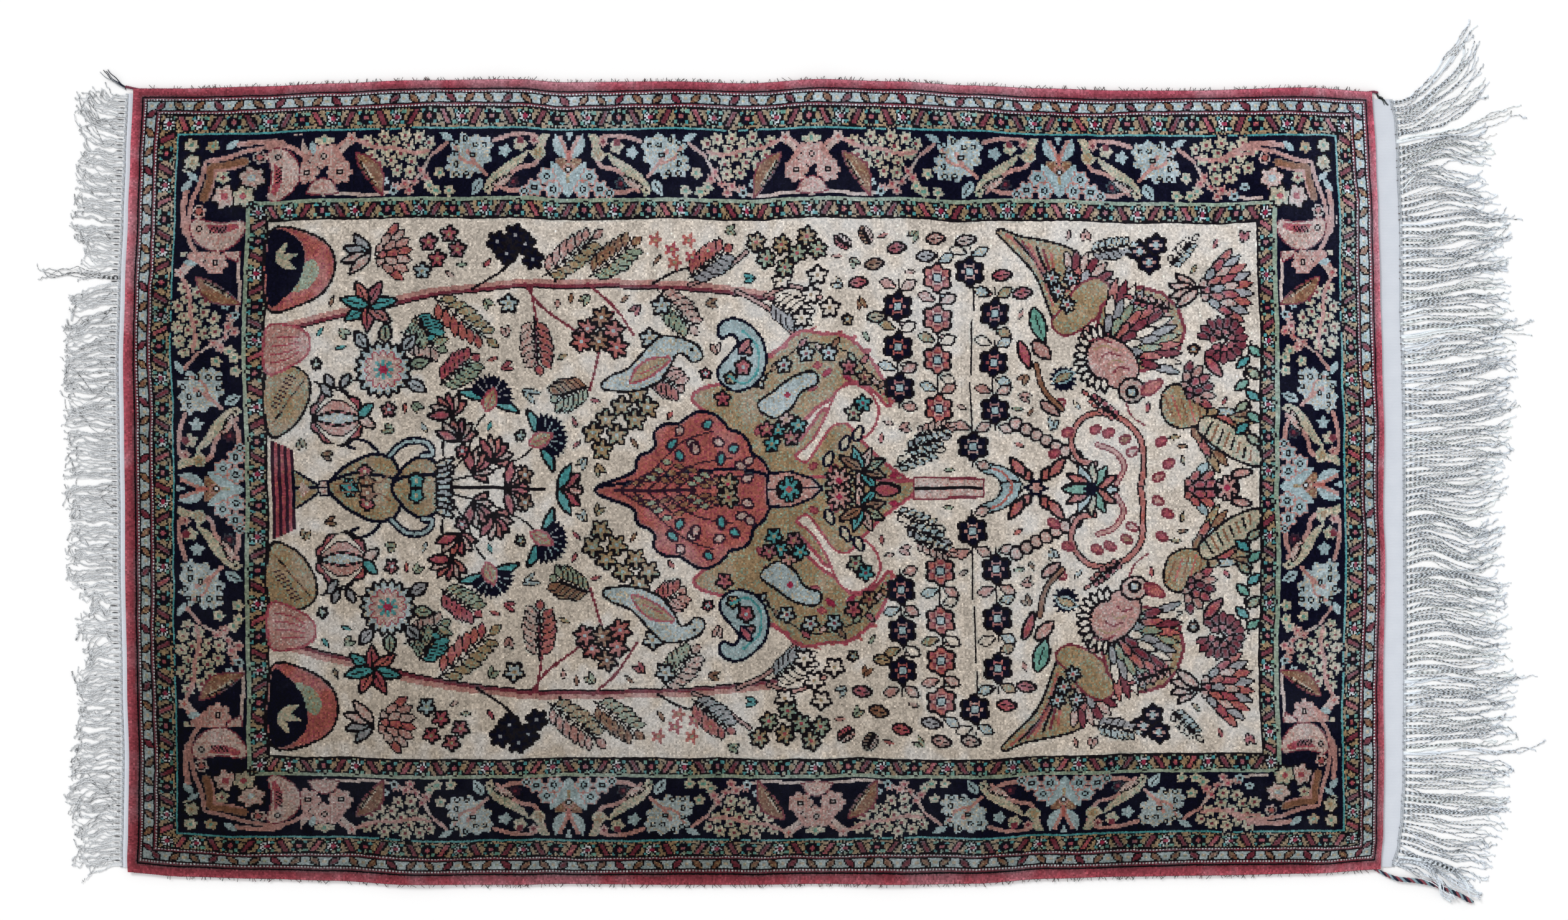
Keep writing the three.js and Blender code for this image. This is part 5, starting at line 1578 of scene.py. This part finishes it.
def draped_clumps(rng, steps, threads=6):
    """Clumps of threads at the lower corner that fall across the binding's loose tail."""
    share = np.linspace(0, 1, steps)
    routes = []
    for points in DRAPED_CLUMPS:
        spine = soft(points, 8)
        at = share * (len(spine) - 1)
        for _ in range(threads):
            x, y = (np.interp(at, np.arange(len(spine)), spine[:, k]) for k in (0, 1))
            side = rng.normal(0, 2.4) * share ** 0.6 + rng.normal(0, 0.35, steps) * share
            sway, turns = rng.uniform(0.3, 1.2), rng.uniform(1, 3)
            side = side + sway * np.sin(2 * np.pi * (share * turns + rng.uniform()))
            routes.append(np.stack([x + 0.6 * side, y + side, 1.2 + 0 * side], -1))
    return np.array(routes)


def over_the_tail(routes):
    """Lifts the threads that cross the binding's loose tail, so that they lie on it."""
    tail = soft(TAIL_ROUTE, 6)
    nearest, _ = line_distance(routes[..., 0], routes[..., 1], tail, False)
    hump = TAIL_HEIGHT * np.clip(1 - (nearest / 11) ** 2, 0, 1) ** 0.7
    routes[..., 2] = np.maximum(routes[..., 2], hump + 0.6 * (hump > 0))


def long_fringe():
    rng = np.random.default_rng(5)
    root = lambda y: right_kilim_outer(y) + GAP
    routes = fringe_threads(RIGHT_FLOW, RIGHT_STRAYS, RIGHT_LOW, RIGHT_HIGH, root, 1,
                            bundles=118, steps=28, curl=3.8, root=2.0, seed=51)
    routes = np.concatenate([routes, draped_clumps(rng, steps=28)])
    over_the_tail(routes)
    count = len(routes)
    radii = rng.uniform(0.56, 0.82, (count, 1)) * frayed(count, 28, rng)
    routes[..., 2] = np.maximum(routes[..., 2], 0.9 * radii)
    threads = tubes(routes, radii, 4, yarn("#eef6ff", count, 0.05, rng), 0.9, 0.85)
    lines = [twined_line(root, 1, RIGHT_LOW, RIGHT_HIGH, offset, 0.62, rng) for offset in (0.6, 1.9)]
    # Dark tubes of painted shade between the bundles' roots
    gap_shade_tubes = painted_root_gap_shade(root, 1, RIGHT_LOW, RIGHT_HIGH, 6.4, -1.4, 1.8, 0.4, rng)
    return yarn_piece("long_fringe", [threads, *lines, *gap_shade_tubes], FRINGE_YARN, "fringe_right")


def short_fringe():
    rng = np.random.default_rng(6)
    root = lambda y: left_kilim_outer(y) - GAP
    routes = fringe_threads(LEFT_FLOW, LEFT_STRAYS, LEFT_LOW, LEFT_HIGH, root, -1,
                            bundles=124, steps=24, curl=4.6, root=9.0, seed=52)
    count = len(routes)
    swell = np.interp(np.arange(24), [0, 4, 6, 23], [1.25, 1.2, 1, 1])
    radii = rng.uniform(0.54, 0.84, (count, 1)) * swell * frayed(count, 24, rng)
    routes[..., 2] = np.maximum(routes[..., 2], 0.9 * radii)
    threads = tubes(routes, radii, 4, yarn("#dcdfe2", count, 0.07, rng), 0.9, 0.8)
    lines = [twined_line(root, -1, LEFT_LOW, LEFT_HIGH, offset, 0.62, rng) for offset in (0.6, 1.9)]
    # Dark tubes of painted shade between the bundles' roots
    gap_shade_tubes = painted_root_gap_shade(root, -1, LEFT_LOW, LEFT_HIGH, 6.1, 2.6, 6.2, 0.5, rng)
    return yarn_piece("short_fringe", [threads, *lines, *gap_shade_tubes], FRINGE_YARN, "fringe_left")


def walked_along(stations, step):
    """Distances along a route at even steps, the points there, and the route's whole length."""
    lengths = np.concatenate([[0], np.cumsum(np.hypot(*np.diff(stations, axis=0).T))])
    places = np.arange(0, lengths[-1], step)
    return places, np.stack([np.interp(places, lengths, stations[:, k]) for k in (0, 1)], -1), lengths[-1]


def binding_roll(stations, hex_colour, rng):
    """An overcast side binding: a roll ridged by the turns of its wrapping yarn."""
    places, route, _ = walked_along(stations, 0.8)
    z = BINDING_RADIUS * 0.95 + lift(route[:, 0], route[:, 1])
    ridges = 0.10 * np.sin(2 * np.pi * places * WRAPS_PER_MM)
    radius = BINDING_RADIUS * (1 + ridges + rng.normal(0, 0.03, len(places)))
    return tubes([np.column_stack([route, z])], radius[None, :], 8, yarn(hex_colour, 1, 0, rng), 0.2, 0.92)


def edge_route(v):
    u = np.linspace(0.004, 0.996, 80)
    x, y = plan_point(u, np.full(80, float(v)), BINDING_INSET)
    return np.stack([x, y], -1)


def twisted_tail(rng):
    """The binding's loose tail: three plies in three dyes, laid round each other."""
    places, spine, length = walked_along(soft(TAIL_ROUTE, 14), 0.6)
    heading = np.gradient(spine, axis=0)
    heading /= np.linalg.norm(heading, axis=1, keepdims=True)
    across = np.stack([-heading[:, 1], heading[:, 0]], -1)
    swell = np.clip(0.55 + places / 60, 0.55, 1) * np.clip((length + 4 - places) / 9, 0.55, 1)
    parts = []
    for ply, colour in enumerate(("#8f4a55", "#1b2238", "#8fa9b3")):
        turn = 2 * np.pi * (places / PLY_PITCH + ply / 3)
        offset = PLY_OFFSET * swell
        xy = spine + (offset * np.cos(turn))[:, None] * across
        z = TAIL_MIDDLE * swell + offset * np.sin(turn)
        parts.append(tubes([np.column_stack([xy, z])], (PLY_RADIUS * swell)[None, :], 7,
                           yarn(colour, 1, 0, rng), 0.9, 0.95))
    return parts


def lower_selvedge():
    rng = np.random.default_rng(8)
    route = np.concatenate([edge_route(0), np.array(TAIL_ROUTE[:2])])
    parts = [binding_roll(route, "#6e3542", rng), *twisted_tail(rng), *edge_lint(0, 360, rng)]
    return yarn_piece("lower_binding", parts, BINDING_YARN, "selvedge_lower")


def loose_strands(starts, heading, length, hexes, radius, sweep, rng):
    """Short loose ends of yarn, each a slim curve on the floor."""
    parts = []
    share = np.linspace(0, 1, 14)
    for k, (x, y) in enumerate(starts):
        turn = heading + rng.normal(0, 0.12)
        reach = length * rng.uniform(0.8, 1.1)
        side = sweep * rng.uniform(0.6, 1.2) * share ** 2 + 0.6 * np.sin(share * 9 + k)
        route = np.column_stack([x + reach * share * math.cos(turn) - side * math.sin(turn),
                                 y + reach * share * math.sin(turn) + side * math.cos(turn),
                                 radius + 1.6 * np.sin(np.pi * share)])
        thick = radius * np.linspace(1, 0.6, 14)
        parts.append(tubes([route], thick[None, :], 6, yarn(hexes[k % len(hexes)], 1, 0, rng), 0.9))
    return parts


def edge_lint(v, count, rng):
    """Wisps of dark fluff caught along a side binding."""
    u = np.sort(rng.uniform(0.01, 0.99, count))
    x, y = plan_point(u, np.full(count, float(v)), BINDING_INSET)
    outward = 1 if v > 0.5 else -1
    share = np.linspace(0, 1, 5)
    parts = []
    for at_x, at_y in zip(x, y):
        reach = rng.uniform(2.0, 4.2)
        bend = rng.normal(0, 2.2)
        route = np.column_stack([at_x + bend * share, at_y + outward * (0.4 + reach * share),
                                 1.6 + 0.8 * np.sin(2.4 * share)])
        dye = ("#3a3434", "#5d3a40", "#3c4a4a", "#7f7a74")[rng.integers(0, 4)]
        parts.append(tubes([route], np.full((1, 5), rng.uniform(0.18, 0.34)), 4, yarn(dye, 1, 0.1, rng)))
    return parts


def upper_selvedge():
    rng = np.random.default_rng(9)
    route = np.concatenate([[UPPER_LEFT_END], edge_route(1), UPPER_RIGHT_END])
    left_x, left_y = UPPER_LEFT_END
    right_x, right_y = UPPER_RIGHT_END[0]
    cord = loose_strands([(left_x, left_y - 0.8 * k) for k in range(5)], 2.62, 27,
                         ("#131a2c", "#9aa0a6", "#1b2238", "#10141f", "#b9bdc2"), 0.62, -4, rng)
    fuzz = loose_strands([(right_x + 1.1 * k, right_y - 1.2 * k) for k in range(6)], -0.5, 13,
                         ("#1c2622", "#20242c", "#39443e"), 0.5, -3, rng)
    parts = [binding_roll(route, "#74394a", rng), *cord, *fuzz, *edge_lint(1, 420, rng)]
    return yarn_piece("upper_binding", parts, BINDING_YARN, "selvedge_upper")


fringe_right = long_fringe()
fringe_left = short_fringe()
selvedge_lower = lower_selvedge()
selvedge_upper = upper_selvedge()


# Paper in metres, and the strengths of the sky and of the window
PAPER_REACH = 20.0
PAPER_TOP = -0.0002
SKY_STRENGTH = 0.77
WINDOW_STRENGTH = 1.2


def studio():
    """White paper underneath, an even pale sky and the soft light of a window high on the left."""
    paper = bpy.data.meshes.new("studio_floor")
    sides = ((-1, -1), (1, -1), (1, 1), (-1, 1))
    paper.from_pydata([(x * PAPER_REACH, y * PAPER_REACH, PAPER_TOP) for x, y in sides], [], [(0, 1, 2, 3)])
    paper.materials.append(white_floor())
    put_in_scene("studio_floor", paper)
    world = bpy.data.worlds.new("studio_sky")
    world.use_nodes = True
    sky = world.node_tree.nodes["Background"]
    fill_inputs(world.node_tree, sky, {"Color": (1.0, 1.0, 1.0, 1.0), "Strength": SKY_STRENGTH})
    bpy.context.scene.world = world
    lamp = bpy.data.lights.new("window_light", "SUN")
    lamp.energy = WINDOW_STRENGTH
    lamp.angle = 0.30
    window = put_in_scene("window_light", lamp)
    window.location = (-1.5, 1.9, 2.2)
    window.rotation_euler = (-window.location).to_track_quat("-Z", "Y").to_euler()
    bpy.context.scene.view_settings.view_transform = "Standard"


studio()
